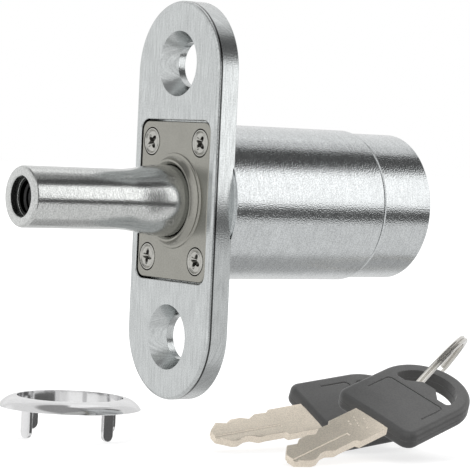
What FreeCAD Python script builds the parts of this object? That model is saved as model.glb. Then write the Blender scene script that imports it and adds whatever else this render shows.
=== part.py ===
"""Sliding door cylinder lock: a push cylinder with a long bolt, its receiving ring and two keys.

Frame: X is the lock's axis, with the bolt towards -X and the key side towards +X. Z runs up along the
flange plate and Y across it. The origin is on the axis, on the flange plate's mounting face.
Lengths are in millimetres and angles in degrees.
"""

import FreeCAD
import Part
import math
import os

from FreeCAD import Placement, Rotation, Vector

# Flange plate
PLATE_LENGTH = 56.0
PLATE_WIDTH = 19.8
PLATE_THICKNESS = 3.4
PLATE_EDGE_ROUND = 0.5
SCREW_SPACING = 38.4
SCREW_HOLE_RADIUS = 3.15
COUNTERSINK_RADIUS = 4.6
COUNTERSINK_DEPTH = 2.3
SEAT_DEPTH = 0.2

# Guide plate, let into the front of the flange plate and a little below its face
GUIDE_WIDTH = 16.6
GUIDE_OVERHANG = 0.1
GUIDE_THICKNESS = 1.6
GUIDE_SET_BACK = 0.2
GUIDE_CORNER_RADIUS = 1.4
GUIDE_SIDE_GAP = 0.25
GUIDE_EDGE_CHAMFER = 0.12
COLLAR_BASE_RADIUS = 6.75
COLLAR_STEP_HEIGHT = 0.22
COLLAR_STEP_SLOPE = 0.12
COLLAR_STEP_WIDTH = 0.3
COLLAR_TOP_RADIUS = 5.75
COLLAR_HEIGHT = 1.1
COLLAR_BREAK_HEIGHT = 0.5
COLLAR_BREAK_RADIUS = 6.05
COLLAR_LIP_WIDTH = 0.25
COLLAR_BEVEL_DEPTH = 0.36

# Screws of the guide plate
GUIDE_SCREW_INSET_Y = 2.35
GUIDE_SCREW_INSET_Z = 2.9
GUIDE_SCREW_HEAD_RADIUS = 2.0
GUIDE_SCREW_HEAD_HEIGHT = 0.9
GUIDE_SCREW_SHANK_RADIUS = 1.0
GUIDE_SCREW_GRIP = 1.1
SCREW_RECESS_WIDTH = 0.55
SCREW_RECESS_LENGTH = 2.3
SCREW_RECESS_DEPTH = 0.5

# Housing sleeve and front ring
SLEEVE_WALL = 1.8
SLEEVE_LENGTH = 26.3
SLEEVE_REAR_WALL = 1.6
SLEEVE_EDGE_CHAMFER = 0.2
SEAT_STEP = 0.4
SPIGOT_RADIUS = 7.9
FRONT_RING_STEP = 0.35
FRONT_RING_LENGTH = 9.1
FRONT_RING_SPIGOT_WALL = 0.9
FRONT_RING_SPIGOT_LENGTH = 2.4
FRONT_RING_CHAMFER = 0.35
SEAM_GROOVE_WIDTH = 0.35
SEAM_GROOVE_DEPTH = 0.35
SEAM_CHAMFER = 0.15

# Bolt
BOLT_REACH = 28.1
BOLT_RADIUS = 4.2
BOLT_SHANK_RADIUS = 5.0
BOLT_FLARE_GAP = 2.0
BOLT_FLARE_LENGTH = 3.4
BOLT_FLARE_BOW = 0.14
BOLT_TIP_ROUND = 0.5
BOLT_MOUTH_RADIUS = 2.75
BOLT_MOUTH_DEPTH = 1.3
BOLT_THREAD_RADIUS = 2.3
BOLT_THREAD_DEPTH = 13.0
BOLT_TAIL_RADIUS = 3.5
CROSS_PIN_RADIUS = 0.6

# Push cylinder
PUSH_TRAVEL = 9.0
BARREL_RADIUS = 9.2
END_PLUG_WALL = 1.0
END_PLUG_THICKNESS = 2.4
CHAMBER_RADIUS = 7.4
CHAMBER_LENGTH = 2.4
FACE_CAP_THICKNESS = 0.8
FACE_CAP_ROUND = 0.3
FACE_STAND_OUT = 0.5

# Return spring
SPRING_ROOM = 5.2
SPRING_INSET = 2.2
SPRING_WIRE_RADIUS = 0.4
SPRING_HALF_TURNS = 6

# Travel pin, which guides the push cylinder and ends its travel
TRAVEL_PIN_RADIUS = 0.75
TRAVEL_PIN_INSET = 4.8
TRAVEL_SLOT_DEPTH = 1.4

# Key core with its tumblers
CORE_RADIUS = 5.5
CORE_NOSE_RADIUS = 5.1
CORE_FLANGE_RADIUS = 6.6
CORE_FLANGE_THICKNESS = 1.4
KEYWAY_WIDTH = 2.1
KEYWAY_HEIGHT = 6.4
KEYWAY_DEPTH = 19.4
TUMBLER_WIDTH = 7.0
TUMBLER_HEIGHT = 8.3
TUMBLER_THICKNESS = 1.2
TUMBLER_WINDOW_WIDTH = 2.5
TUMBLER_WINDOW_HEIGHT = 5.2
TUMBLER_TRAVEL = 0.6
TUMBLER_PITCH = 2.6
TUMBLER_INSET = 2.7
TUMBLER_OFFSETS = {"up": (0.3, -0.2, 0.1), "down": (-0.3, 0.2)}

# Cam and locking slide at the back of the core
CAM_RADIUS = 2.6
CAM_ECCENTRICITY = 0.85
CAM_START_ANGLE = -45.0
CAM_TURN = 90.0
CAM_THICKNESS = 1.8
CORE_TAIL_SIZE = 2.8
CORE_TAIL_LENGTH = 1.1
CAM_SCREW_RADIUS = 0.8
CAM_SCREW_LENGTH = 4.0
CAM_SCREW_HEAD_RADIUS = 1.5
YOKE_WALL = 1.2
YOKE_SIDE_PLAY = 0.1
LOCKING_BAR_WIDTH = 4.0

# Running and seating clearances
RUNNING_GAP = 0.06
FIT_GAP = 0.02
SLIDE_GAP = 0.1
WINDOW_GAP = 0.06

# Receiving ring for the other door
RING_BORE_RADIUS = 7.9
RING_RIM_RADIUS = 10.6
RING_RIM_HEIGHT = 1.6
RING_CROWN_DROP = 0.48
RING_WALL = 0.55
RING_TUBE_LENGTH = 1.2
RING_PRONG_COUNT = 4
RING_PRONG_WIDTH = 1.9
RING_PRONG_LENGTH = 4.6
RING_PRONG_STEP = 0.2
RING_FIRST_PRONG_ANGLE = 10.0
RING_CENTRE = (-4.0, 23.6)

# Keys
KEY_HEAD_WIDTH = 14.4
KEY_HEAD_LENGTH = 18.5
KEY_HEAD_THICKNESS = 2.8
KEY_HEAD_CORNER = 1.8
KEY_HEAD_EDGE_ROUND = 0.8
KEY_BOW_WIDTH = 2.1
KEY_SLOT_LENGTH = 5.4
KEY_TONGUE_WIDTH = 2.4
KEY_TONGUE_HEIGHT = 1.9
KEY_SLOT_CORNER = 0.7
KEY_FRAME_WIDTH = 10.6
KEY_FRAME_BACK = -9.9
KEY_FRAME_FRONT = -4.8
KEY_FRAME_CORNER = 0.8
KEY_FRAME_GROOVE = 0.3
KEY_FRAME_DEPTH = 0.2
BLADE_LENGTH = 17.5
BLADE_THICKNESS = 1.2
BLADE_NECK_WIDTH = 6.1
BLADE_NECK_LENGTH = 6.0
BLADE_WIDTH = 5.2
BLADE_TANG_WIDTH = 4.6
BLADE_TANG_LENGTH = 6.0
BLADE_TIP_WIDTH = 1.6
BLADE_GROOVE_WIDTH = 0.6
BLADE_GROOVE_DEPTH = 0.25
BLADE_GROOVE_SPACING = 1.6
# Both cut edges of the blade: the share of its length at each point, and the depth below its full width
LEFT_CUT_SHARES = (0.36, 0.55, 0.62, 0.69, 0.75, 0.83, 0.88)
LEFT_CUT_DEPTHS = (0.15, 0.2, 0.1, 0.8, 0.8, 0.25, 0.35)
RIGHT_CUT_SHARES = (0.38, 0.5, 0.58, 0.65, 0.75, 0.81, 0.9)
RIGHT_CUT_DEPTHS = (0.1, 0.0, 0.75, 0.2, 0.2, 0.85, 0.3)

# Where the loose pieces lie
SURFACE_DROP = 36.0
NEAR_KEY_PLACE = (24.7, -12.0)
NEAR_KEY_ANGLES = (-170.1, 15.3, -22.8)
FAR_KEY_PLACE = (24.0, 1.15)
FAR_KEY_ANGLES = (-181.7, 7.0, -29.4)

# Split ring: flat double coil whose place follows from the two key slots it passes through
SPLIT_RING_RADIUS = 9.0
SPLIT_RING_WIDTH = 0.9
SPLIT_RING_COIL = 0.55
SPLIT_RING_SEAM = 0.1
SPLIT_RING_SEAM_DEPTH = 0.25
SPLIT_RING_END_GAP = 0.5
SPLIT_RING_END_ANGLES = (62.0, 84.0)
SPLIT_RING_LEAN_ANGLE = 25.1
NEAR_RING_CROSSING = (-13.4, -2.4)
FAR_RING_CROSSING = (-12.1, 3.5)

# Radii and places along the axis that follow from the sizes above
PLATE_FRONT = -PLATE_THICKNESS
GUIDE_FRONT = PLATE_FRONT + GUIDE_SET_BACK
WEB_FRONT = GUIDE_FRONT + GUIDE_THICKNESS
SLEEVE_RADIUS = BARREL_RADIUS + SLEEVE_WALL
SLEEVE_BORE_RADIUS = BARREL_RADIUS + RUNNING_GAP
GUIDE_HEIGHT = 2 * (SLEEVE_RADIUS + GUIDE_OVERHANG)
FRONT_RING_RADIUS = SLEEVE_RADIUS - FRONT_RING_STEP
FRONT_RING_SPIGOT_RADIUS = BARREL_RADIUS + FRONT_RING_SPIGOT_WALL
END_PLUG_RADIUS = BARREL_RADIUS - END_PLUG_WALL
SPRING_RADIUS = BARREL_RADIUS - SPRING_INSET
BARREL_REAR = SLEEVE_REAR_WALL + SPRING_ROOM
CHAMBER_REAR = BARREL_REAR + END_PLUG_THICKNESS
CHAMBER_FRONT = CHAMBER_REAR + CHAMBER_LENGTH
TRAVEL_PIN_X = SLEEVE_LENGTH - TRAVEL_PIN_INSET
FRONT_END = SLEEVE_LENGTH + FRONT_RING_LENGTH
CORE_NOSE_END = FRONT_END + FACE_STAND_OUT
KEYWAY_END = CORE_NOSE_END - KEYWAY_DEPTH
TUMBLER_FIRST_X = KEYWAY_END + TUMBLER_INSET
BARREL_FRONT = CORE_NOSE_END - FACE_CAP_THICKNESS
CAM_FRONT = CHAMBER_FRONT - (CHAMBER_LENGTH - CAM_THICKNESS) / 2
CAM_REAR = CAM_FRONT - CAM_THICKNESS
CAM_LIFT = 2 * CAM_ECCENTRICITY * math.sin(math.radians(CAM_TURN / 2))
BOLT_FLARE_END = PLATE_FRONT - BOLT_FLARE_GAP
BOLT_FLARE_START = BOLT_FLARE_END - BOLT_FLARE_LENGTH
SURFACE_Z = -SURFACE_DROP
CUT_MARGIN = 1.0
SAME_PLANE = 1e-4
AXIS_X = Vector(1, 0, 0)
AXIS_Y = Vector(0, 1, 0)
AXIS_Z = Vector(0, 0, 1)


def cylinder_x(radius, start, end):
    """A cylinder on the lock's axis between two places on it."""
    return Part.makeCylinder(radius, end - start, Vector(start, 0, 0), AXIS_X)


def tube_x(outer, inner, start, end):
    """A tube on the lock's axis between two places on it."""
    return cylinder_x(outer, start, end).cut(cylinder_x(inner, start, end))


def block(x_range, y_range, z_range):
    """A box between three pairs of limits."""
    size = [high - low for low, high in (x_range, y_range, z_range)]
    return Part.makeBox(*size, Vector(x_range[0], y_range[0], z_range[0]))


def revolve(wire_edges, axis):
    """A solid turned from closed profile edges about an axis through the origin."""
    face = Part.Face(Part.Wire(wire_edges))
    return face.revolve(Vector(0, 0, 0), axis, 360)


def polyline(points):
    """Straight edges through points, closed back to the first."""
    return [Part.makeLine(a, b) for a, b in zip(points, points[1:] + points[:1])]


def arc(start, middle, end):
    """One circular edge through three points."""
    return Part.Arc(start, middle, end).toShape()


def rounded_rectangle(width, height, radius, x_range):
    """A prism along X with a rounded rectangular outline, centred on the axis."""
    prism = block(x_range, (-width / 2, width / 2), (-height / 2, height / 2))
    upright = [e for e in prism.Edges if abs(e.tangentAt(e.FirstParameter).x) > 0.99]
    return prism.makeFillet(radius, upright)


def edges_on_plane_x(shape, x):
    """The edges of a shape that lie in a plane across the axis."""
    return [
        e for e in shape.Edges
        if abs(e.BoundBox.XMin - x) < SAME_PLANE and abs(e.BoundBox.XMax - x) < SAME_PLANE
    ]


def guide_screw_places():
    """The four corners where the guide plate is screwed down."""
    half_y = GUIDE_WIDTH / 2 - GUIDE_SCREW_INSET_Y
    half_z = GUIDE_HEIGHT / 2 - GUIDE_SCREW_INSET_Z
    return [(y, z) for y in (-half_y, half_y) for z in (-half_z, half_z)]


def flange_plate():
    """Stadium plate with two countersunk holes, the guide plate's pocket and the sleeve's seat."""
    radius = PLATE_WIDTH / 2
    straight = PLATE_LENGTH / 2 - radius
    outline = [
        Part.makeLine(Vector(PLATE_FRONT, -radius, -straight), Vector(PLATE_FRONT, -radius, straight)),
        arc(
            Vector(PLATE_FRONT, -radius, straight),
            Vector(PLATE_FRONT, 0, PLATE_LENGTH / 2),
            Vector(PLATE_FRONT, radius, straight),
        ),
        Part.makeLine(Vector(PLATE_FRONT, radius, straight), Vector(PLATE_FRONT, radius, -straight)),
        arc(
            Vector(PLATE_FRONT, radius, -straight),
            Vector(PLATE_FRONT, 0, -PLATE_LENGTH / 2),
            Vector(PLATE_FRONT, -radius, -straight),
        ),
    ]
    plate = Part.Face(Part.Wire(outline)).extrude(Vector(PLATE_THICKNESS, 0, 0))
    plate = plate.makeFillet(PLATE_EDGE_ROUND, edges_on_plane_x(plate, PLATE_FRONT))
    pocket = rounded_rectangle(
        GUIDE_WIDTH + 2 * GUIDE_SIDE_GAP,
        GUIDE_HEIGHT + 2 * GUIDE_SIDE_GAP,
        GUIDE_CORNER_RADIUS + GUIDE_SIDE_GAP,
        (PLATE_FRONT, WEB_FRONT),
    )
    plate = plate.cut(pocket)
    pocket_reach = pocket.BoundBox.YMax + SAME_PLANE
    rim = [e for e in edges_on_plane_x(plate, PLATE_FRONT) if e.BoundBox.YMax < pocket_reach]
    rim = [e for e in rim if e.BoundBox.YMin > -pocket_reach and abs(e.CenterOfMass.z) < GUIDE_HEIGHT]
    plate = plate.makeChamfer(GUIDE_EDGE_CHAMFER, rim)
    plate = plate.cut(cylinder_x(SPIGOT_RADIUS + FIT_GAP, WEB_FRONT - CUT_MARGIN, CUT_MARGIN))
    plate = plate.cut(cylinder_x(SLEEVE_RADIUS + FIT_GAP, -SEAT_DEPTH, CUT_MARGIN))
    for side in (-1, 1):
        centre = Vector(PLATE_FRONT, 0, side * SCREW_SPACING / 2)
        hole = Part.makeCylinder(SCREW_HOLE_RADIUS, PLATE_THICKNESS, centre, AXIS_X)
        sink = Part.makeCone(COUNTERSINK_RADIUS, SCREW_HOLE_RADIUS, COUNTERSINK_DEPTH, centre, AXIS_X)
        plate = plate.cut(hole.fuse(sink))
    for y, z in guide_screw_places():
        hole = Part.makeCylinder(
            GUIDE_SCREW_SHANK_RADIUS + FIT_GAP, GUIDE_SCREW_GRIP, Vector(WEB_FRONT, y, z), AXIS_X
        )
        plate = plate.cut(hole)
    return plate


def guide_plate():
    """Inset plate with the stepped, raised collar that guides the bolt."""
    plate = rounded_rectangle(
        GUIDE_WIDTH, GUIDE_HEIGHT, GUIDE_CORNER_RADIUS, (GUIDE_FRONT, WEB_FRONT)
    )
    plate = plate.makeChamfer(GUIDE_EDGE_CHAMFER, edges_on_plane_x(plate, GUIDE_FRONT))
    hole_radius = BOLT_SHANK_RADIUS + SLIDE_GAP
    base = Vector(GUIDE_FRONT, COLLAR_BASE_RADIUS, 0)
    step_front = GUIDE_FRONT - COLLAR_STEP_HEIGHT
    step_edge = Vector(step_front, COLLAR_BASE_RADIUS - COLLAR_STEP_SLOPE, 0)
    step_foot = Vector(step_front, COLLAR_BASE_RADIUS - COLLAR_STEP_SLOPE - COLLAR_STEP_WIDTH, 0)
    top = Vector(GUIDE_FRONT - COLLAR_HEIGHT, COLLAR_TOP_RADIUS, 0)
    middle = Vector(GUIDE_FRONT - COLLAR_BREAK_HEIGHT, COLLAR_BREAK_RADIUS, 0)
    inner_top = Vector(GUIDE_FRONT - COLLAR_HEIGHT, COLLAR_TOP_RADIUS - COLLAR_LIP_WIDTH, 0)
    mouth = Vector(GUIDE_FRONT - COLLAR_HEIGHT + COLLAR_BEVEL_DEPTH, hole_radius, 0)
    inner_base = Vector(GUIDE_FRONT, hole_radius, 0)
    profile = [
        Part.makeLine(base, step_edge),
        Part.makeLine(step_edge, step_foot),
        arc(step_foot, middle, top),
        Part.makeLine(top, inner_top),
        Part.makeLine(inner_top, mouth),
        Part.makeLine(mouth, inner_base),
        Part.makeLine(inner_base, base),
    ]
    plate = plate.cut(cylinder_x(hole_radius, GUIDE_FRONT - CUT_MARGIN, WEB_FRONT + CUT_MARGIN))
    plate = plate.fuse(revolve(profile, AXIS_X)).removeSplitter()
    for y, z in guide_screw_places():
        start = Vector(GUIDE_FRONT, y, z)
        head = Part.makeCylinder(
            GUIDE_SCREW_HEAD_RADIUS + FIT_GAP, GUIDE_SCREW_HEAD_HEIGHT, start, AXIS_X
        )
        shank = Part.makeCylinder(GUIDE_SCREW_SHANK_RADIUS + FIT_GAP, GUIDE_THICKNESS, start, AXIS_X)
        plate = plate.cut(head.fuse(shank))
    return plate


def guide_plate_screws():
    """Four screws flush with the guide plate, each with a cross recess."""
    screws = []
    length = GUIDE_THICKNESS + GUIDE_SCREW_GRIP
    for y, z in guide_screw_places():
        start = Vector(GUIDE_FRONT, y, z)
        head = Part.makeCylinder(GUIDE_SCREW_HEAD_RADIUS, GUIDE_SCREW_HEAD_HEIGHT, start, AXIS_X)
        shank = Part.makeCylinder(GUIDE_SCREW_SHANK_RADIUS, length, start, AXIS_X)
        screw = head.fuse(shank)
        depth = (GUIDE_FRONT, GUIDE_FRONT + SCREW_RECESS_DEPTH)
        half_width = SCREW_RECESS_WIDTH / 2
        half_length = SCREW_RECESS_LENGTH / 2
        for half_y, half_z in ((half_width, half_length), (half_length, half_width)):
            screw = screw.cut(block(depth, (y - half_y, y + half_y), (z - half_z, z + half_z)))
        screws.append(screw.removeSplitter())
    return Part.makeCompound(screws)


def housing_sleeve():
    """Round housing with the push cylinder's bore, its rear wall and the spigot in the plate."""
    outer = cylinder_x(SLEEVE_RADIUS, 0, SLEEVE_LENGTH)
    outer = outer.makeChamfer(SLEEVE_EDGE_CHAMFER, edges_on_plane_x(outer, SLEEVE_LENGTH))
    outer = outer.fuse(cylinder_x(SLEEVE_RADIUS - SEAT_STEP, -SEAT_DEPTH, SLEEVE_REAR_WALL))
    sleeve = outer.fuse(cylinder_x(SPIGOT_RADIUS, WEB_FRONT, SLEEVE_REAR_WALL))
    sleeve = sleeve.cut(cylinder_x(SLEEVE_BORE_RADIUS, SLEEVE_REAR_WALL, SLEEVE_LENGTH + CUT_MARGIN))
    bolt_hole_radius = BOLT_SHANK_RADIUS + RUNNING_GAP
    sleeve = sleeve.cut(
        cylinder_x(bolt_hole_radius, WEB_FRONT - CUT_MARGIN, SLEEVE_REAR_WALL + CUT_MARGIN)
    )
    seat_start = SLEEVE_LENGTH - FRONT_RING_SPIGOT_LENGTH
    seat = cylinder_x(FRONT_RING_SPIGOT_RADIUS + FIT_GAP, seat_start, SLEEVE_LENGTH + CUT_MARGIN)
    sleeve = sleeve.cut(seat)
    for shift in (0, PUSH_TRAVEL):
        sleeve = sleeve.cut(locking_recess(shift))
    pin_hole = Part.makeCylinder(
        TRAVEL_PIN_RADIUS + FIT_GAP, SLEEVE_RADIUS, Vector(TRAVEL_PIN_X, 0, 0), AXIS_Y
    )
    return sleeve.cut(pin_hole).removeSplitter()


def locking_recess(shift):
    """The pocket in the sleeve's wall that the locking slide enters, at one end of the travel."""
    half_width = LOCKING_BAR_WIDTH / 2 + SLIDE_GAP
    top = BARREL_RADIUS + CAM_LIFT + SLIDE_GAP
    x_range = (CAM_REAR - SLIDE_GAP + shift, CAM_FRONT + SLIDE_GAP + shift)
    return block(x_range, (-half_width, half_width), (0, top))


def travel_pin():
    """Radial pin through the sleeve's wall, on the side away from the view."""
    inner = BARREL_RADIUS - TRAVEL_SLOT_DEPTH + SLIDE_GAP
    pin = Part.makeCylinder(
        TRAVEL_PIN_RADIUS, SLEEVE_RADIUS - inner, Vector(TRAVEL_PIN_X, inner, 0), AXIS_Y
    )
    return pin.common(cylinder_x(SLEEVE_RADIUS, 0, SLEEVE_LENGTH))


def front_ring():
    """Finishing ring that carries the sleeve's bore on to the door's front, with a groove at the seam."""
    groove_end = SLEEVE_LENGTH + SEAM_GROOVE_WIDTH
    ring = cylinder_x(FRONT_RING_RADIUS, groove_end, FRONT_END)
    ring = ring.makeChamfer(FRONT_RING_CHAMFER, edges_on_plane_x(ring, FRONT_END))
    ring = ring.makeChamfer(SEAM_CHAMFER, edges_on_plane_x(ring, groove_end))
    groove_floor = FRONT_RING_RADIUS - SEAM_GROOVE_DEPTH
    ring = ring.fuse(cylinder_x(groove_floor, SLEEVE_LENGTH, groove_end))
    spigot_start = SLEEVE_LENGTH - FRONT_RING_SPIGOT_LENGTH
    ring = ring.fuse(cylinder_x(FRONT_RING_SPIGOT_RADIUS, spigot_start, SLEEVE_LENGTH))
    bore = cylinder_x(SLEEVE_BORE_RADIUS, spigot_start - CUT_MARGIN, FRONT_END + CUT_MARGIN)
    return ring.cut(bore).removeSplitter()


def bolt_tube():
    """Bolt with a bored and threaded tip, a flare and a thicker guided shank."""
    tip = -BOLT_REACH
    turn = BOLT_TIP_ROUND * (1 - math.sqrt(0.5))
    half_flare = (BOLT_SHANK_RADIUS - BOLT_RADIUS) / 2
    flare_middle = (BOLT_FLARE_START + BOLT_FLARE_END) / 2
    corner = [
        Vector(tip, BOLT_RADIUS - BOLT_TIP_ROUND, 0),
        Vector(tip + turn, BOLT_RADIUS - turn, 0),
        Vector(tip + BOLT_TIP_ROUND, BOLT_RADIUS, 0),
    ]
    flare_foot = Vector(BOLT_FLARE_START, BOLT_RADIUS, 0)
    flare_waist = Vector(flare_middle, BOLT_RADIUS + half_flare, 0)
    flare_top = Vector(BOLT_FLARE_END, BOLT_SHANK_RADIUS, 0)
    low = Vector((BOLT_FLARE_START + flare_middle) / 2, BOLT_RADIUS + half_flare / 2 - BOLT_FLARE_BOW, 0)
    high = Vector((flare_middle + BOLT_FLARE_END) / 2, BOLT_RADIUS + 1.5 * half_flare + BOLT_FLARE_BOW, 0)
    rest = [
        flare_top,
        Vector(BARREL_REAR, BOLT_SHANK_RADIUS, 0),
        Vector(BARREL_REAR, BOLT_TAIL_RADIUS, 0),
        Vector(CHAMBER_REAR, BOLT_TAIL_RADIUS, 0),
        Vector(CHAMBER_REAR, 0, 0),
        Vector(tip, 0, 0),
        corner[0],
    ]
    profile = [arc(*corner), Part.makeLine(corner[2], flare_foot)]
    profile += [arc(flare_foot, low, flare_waist), arc(flare_waist, high, flare_top)]
    profile += [Part.makeLine(a, b) for a, b in zip(rest, rest[1:])]
    bolt = revolve(profile, AXIS_X)
    bolt = bolt.cut(cylinder_x(BOLT_THREAD_RADIUS, tip, tip + BOLT_THREAD_DEPTH))
    bolt = bolt.cut(cylinder_x(BOLT_MOUTH_RADIUS, tip, tip + BOLT_MOUTH_DEPTH))
    return bolt.cut(cross_pin_shape(FIT_GAP))


def cross_pin_shape(gap):
    """The pin that ties bolt, end plug and barrel together, or its hole with a gap."""
    middle = (BARREL_REAR + CHAMBER_REAR) / 2
    reach = BARREL_RADIUS + CUT_MARGIN
    return Part.makeCylinder(CROSS_PIN_RADIUS + gap, 2 * reach, Vector(middle, -reach, 0), AXIS_Y)


def bolt_cross_pin():
    """Pin through the bolt's tail, flush with the barrel."""
    return cross_pin_shape(0).common(cylinder_x(BARREL_RADIUS, BARREL_REAR, CHAMBER_REAR))


def arc_from_tangent(start, corner, end):
    """The arc that leaves start towards corner and comes into end from it, both legs being as long."""
    middle = (start + end) * 0.5
    half_chord = (end - start).Length / 2
    height = (corner - middle).Length
    radius = (corner - start).Length * half_chord / height
    sagitta = radius - math.sqrt(radius**2 - half_chord**2)
    return arc(start, middle + (corner - middle) * (sagitta / height), end)


def biarc(start, start_way, end, end_way):
    """Two arcs that join two points and are tangent to the given ways there and to each other."""
    span = end - start
    ways = start_way + end_way
    square = 2 * (start_way.dot(end_way) - 1)
    linear = -2 * span.dot(ways)
    leg = (-linear - math.sqrt(linear**2 - 4 * square * span.dot(span))) / (2 * square)
    first = start + start_way * leg
    last = end - end_way * leg
    joint = (first + last) * 0.5
    return [arc_from_tangent(start, first, joint), arc_from_tangent(joint, last, end)]


def return_spring():
    """Compression spring round the bolt, which pushes the cylinder out again."""
    length = SPRING_ROOM - 2 * SPRING_WIRE_RADIUS - 2 * SLIDE_GAP
    start = SLEEVE_REAR_WALL + SLIDE_GAP + SPRING_WIRE_RADIUS
    rise = length / SPRING_HALF_TURNS
    points = []
    ways = []
    for index in range(SPRING_HALF_TURNS + 1):
        side = (-1) ** index
        points.append(Vector(start + rise * index, side * SPRING_RADIUS, 0))
        ways.append(Vector(rise / math.pi, 0, side * SPRING_RADIUS).normalize())
    spine = []
    for index in range(SPRING_HALF_TURNS):
        spine += biarc(points[index], ways[index], points[index + 1], ways[index + 1])
    section = Part.Wire(Part.makeCircle(SPRING_WIRE_RADIUS, points[0], ways[0]))
    return Part.Wire(spine).makePipeShell([section], True)


def push_barrel():
    """Sliding barrel with the core's bore, the locking chamber and the travel slot."""
    barrel = cylinder_x(BARREL_RADIUS, BARREL_REAR, BARREL_FRONT)
    barrel = barrel.cut(cylinder_x(END_PLUG_RADIUS + FIT_GAP, BARREL_REAR, CHAMBER_REAR))
    barrel = barrel.cut(cylinder_x(CHAMBER_RADIUS, CHAMBER_REAR, CHAMBER_FRONT))
    barrel = barrel.cut(cylinder_x(CORE_RADIUS + RUNNING_GAP, CHAMBER_FRONT, BARREL_FRONT))
    flange_seat = BARREL_FRONT - CORE_FLANGE_THICKNESS - SLIDE_GAP
    barrel = barrel.cut(cylinder_x(CORE_FLANGE_RADIUS + RUNNING_GAP, flange_seat, BARREL_FRONT))
    half_bar = LOCKING_BAR_WIDTH / 2 + SLIDE_GAP / 2
    bar_slot = (CAM_REAR - SLIDE_GAP / 2, CAM_FRONT + SLIDE_GAP / 2)
    barrel = barrel.cut(block(bar_slot, (-half_bar, half_bar), (0, BARREL_RADIUS)))
    barrel = barrel.cut(tumbler_channels())
    barrel = barrel.cut(travel_slot())
    return barrel.cut(cross_pin_shape(FIT_GAP)).removeSplitter()


def tumbler_channels():
    """Grooves in the barrel that take the sprung tumblers, with the core at rest and turned."""
    half_width = TUMBLER_WIDTH / 2 + SLIDE_GAP
    reach = TUMBLER_HEIGHT / 2 + TUMBLER_TRAVEL + SLIDE_GAP
    places = tumbler_places()
    low = min(places) - TUMBLER_THICKNESS / 2 - SLIDE_GAP
    high = max(places) + TUMBLER_THICKNESS / 2 + SLIDE_GAP
    upright = block((low, high), (-half_width, half_width), (-reach, reach))
    across = block((low, high), (-reach, reach), (-half_width, half_width))
    return upright.fuse(across)


def travel_slot():
    """Slot in the barrel's side along which the travel pin runs."""
    radius = TRAVEL_PIN_RADIUS + SLIDE_GAP
    inner = BARREL_RADIUS - TRAVEL_SLOT_DEPTH
    rear = TRAVEL_PIN_X - PUSH_TRAVEL
    slot = block((rear, TRAVEL_PIN_X), (inner, inner + BARREL_RADIUS), (-radius, radius))
    for x in (rear, TRAVEL_PIN_X):
        slot = slot.fuse(Part.makeCylinder(radius, BARREL_RADIUS, Vector(x, inner, 0), AXIS_Y))
    return slot


def barrel_end_plug():
    """Disc that closes the barrel's rear and carries the bolt."""
    plug = tube_x(END_PLUG_RADIUS, BOLT_TAIL_RADIUS + FIT_GAP, BARREL_REAR, CHAMBER_REAR)
    return plug.cut(cross_pin_shape(FIT_GAP))


def face_cap():
    """Cap over the push cylinder's front, which holds the core in."""
    cap = cylinder_x(BARREL_RADIUS, BARREL_FRONT, CORE_NOSE_END)
    cap = cap.makeFillet(FACE_CAP_ROUND, edges_on_plane_x(cap, CORE_NOSE_END))
    hole = cylinder_x(
        CORE_NOSE_RADIUS + RUNNING_GAP, BARREL_FRONT - CUT_MARGIN, CORE_NOSE_END + CUT_MARGIN
    )
    return cap.cut(hole)


def tumbler_places():
    """The axial places of all tumblers."""
    count = sum(len(offsets) for offsets in TUMBLER_OFFSETS.values())
    return [TUMBLER_FIRST_X + TUMBLER_PITCH * index for index in range(count)]


def cylinder_core():
    """Turning core with keyway, tumbler slots, front flange and square tail."""
    flange_front = BARREL_FRONT - SLIDE_GAP / 2
    core = cylinder_x(CORE_RADIUS, CAM_FRONT, flange_front)
    core = core.fuse(cylinder_x(CORE_FLANGE_RADIUS, flange_front - CORE_FLANGE_THICKNESS, flange_front))
    core = core.fuse(cylinder_x(CORE_NOSE_RADIUS, flange_front, CORE_NOSE_END))
    half_tail = CORE_TAIL_SIZE / 2
    tail_range = (-half_tail, half_tail)
    core = core.fuse(block((CAM_FRONT - CORE_TAIL_LENGTH, CAM_FRONT), tail_range, tail_range))
    keyway = block(
        (KEYWAY_END, CORE_NOSE_END),
        (-KEYWAY_WIDTH / 2, KEYWAY_WIDTH / 2),
        (-KEYWAY_HEIGHT / 2, KEYWAY_HEIGHT / 2),
    )
    core = core.cut(keyway)
    half_slot = TUMBLER_THICKNESS / 2 + SLIDE_GAP / 2
    half_width = TUMBLER_WIDTH / 2 + SLIDE_GAP / 2
    for x in tumbler_places():
        slot = block(
            (x - half_slot, x + half_slot), (-half_width, half_width), (-CORE_RADIUS, CORE_RADIUS)
        )
        core = core.cut(slot)
    tail_end = CAM_FRONT - CORE_TAIL_LENGTH
    screw_hole = cylinder_x(CAM_SCREW_RADIUS + FIT_GAP, tail_end, tail_end + CAM_SCREW_LENGTH)
    return core.cut(screw_hole).removeSplitter()


def tumbler(x, window_offset):
    """One flat tumbler plate with its key window."""
    half_thickness = TUMBLER_THICKNESS / 2
    x_range = (x - half_thickness, x + half_thickness)
    plate = block(
        x_range, (-TUMBLER_WIDTH / 2, TUMBLER_WIDTH / 2), (-TUMBLER_HEIGHT / 2, TUMBLER_HEIGHT / 2)
    )
    window = block(
        x_range,
        (-TUMBLER_WINDOW_WIDTH / 2, TUMBLER_WINDOW_WIDTH / 2),
        (window_offset - TUMBLER_WINDOW_HEIGHT / 2, window_offset + TUMBLER_WINDOW_HEIGHT / 2),
    )
    return plate.cut(window)


def tumblers(group):
    """The tumblers that spring one way; the two groups alternate along the core."""
    first = 0 if group == "up" else 1
    places = tumbler_places()[first::2]
    return Part.makeCompound([tumbler(x, o) for x, o in zip(places, TUMBLER_OFFSETS[group])])


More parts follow.
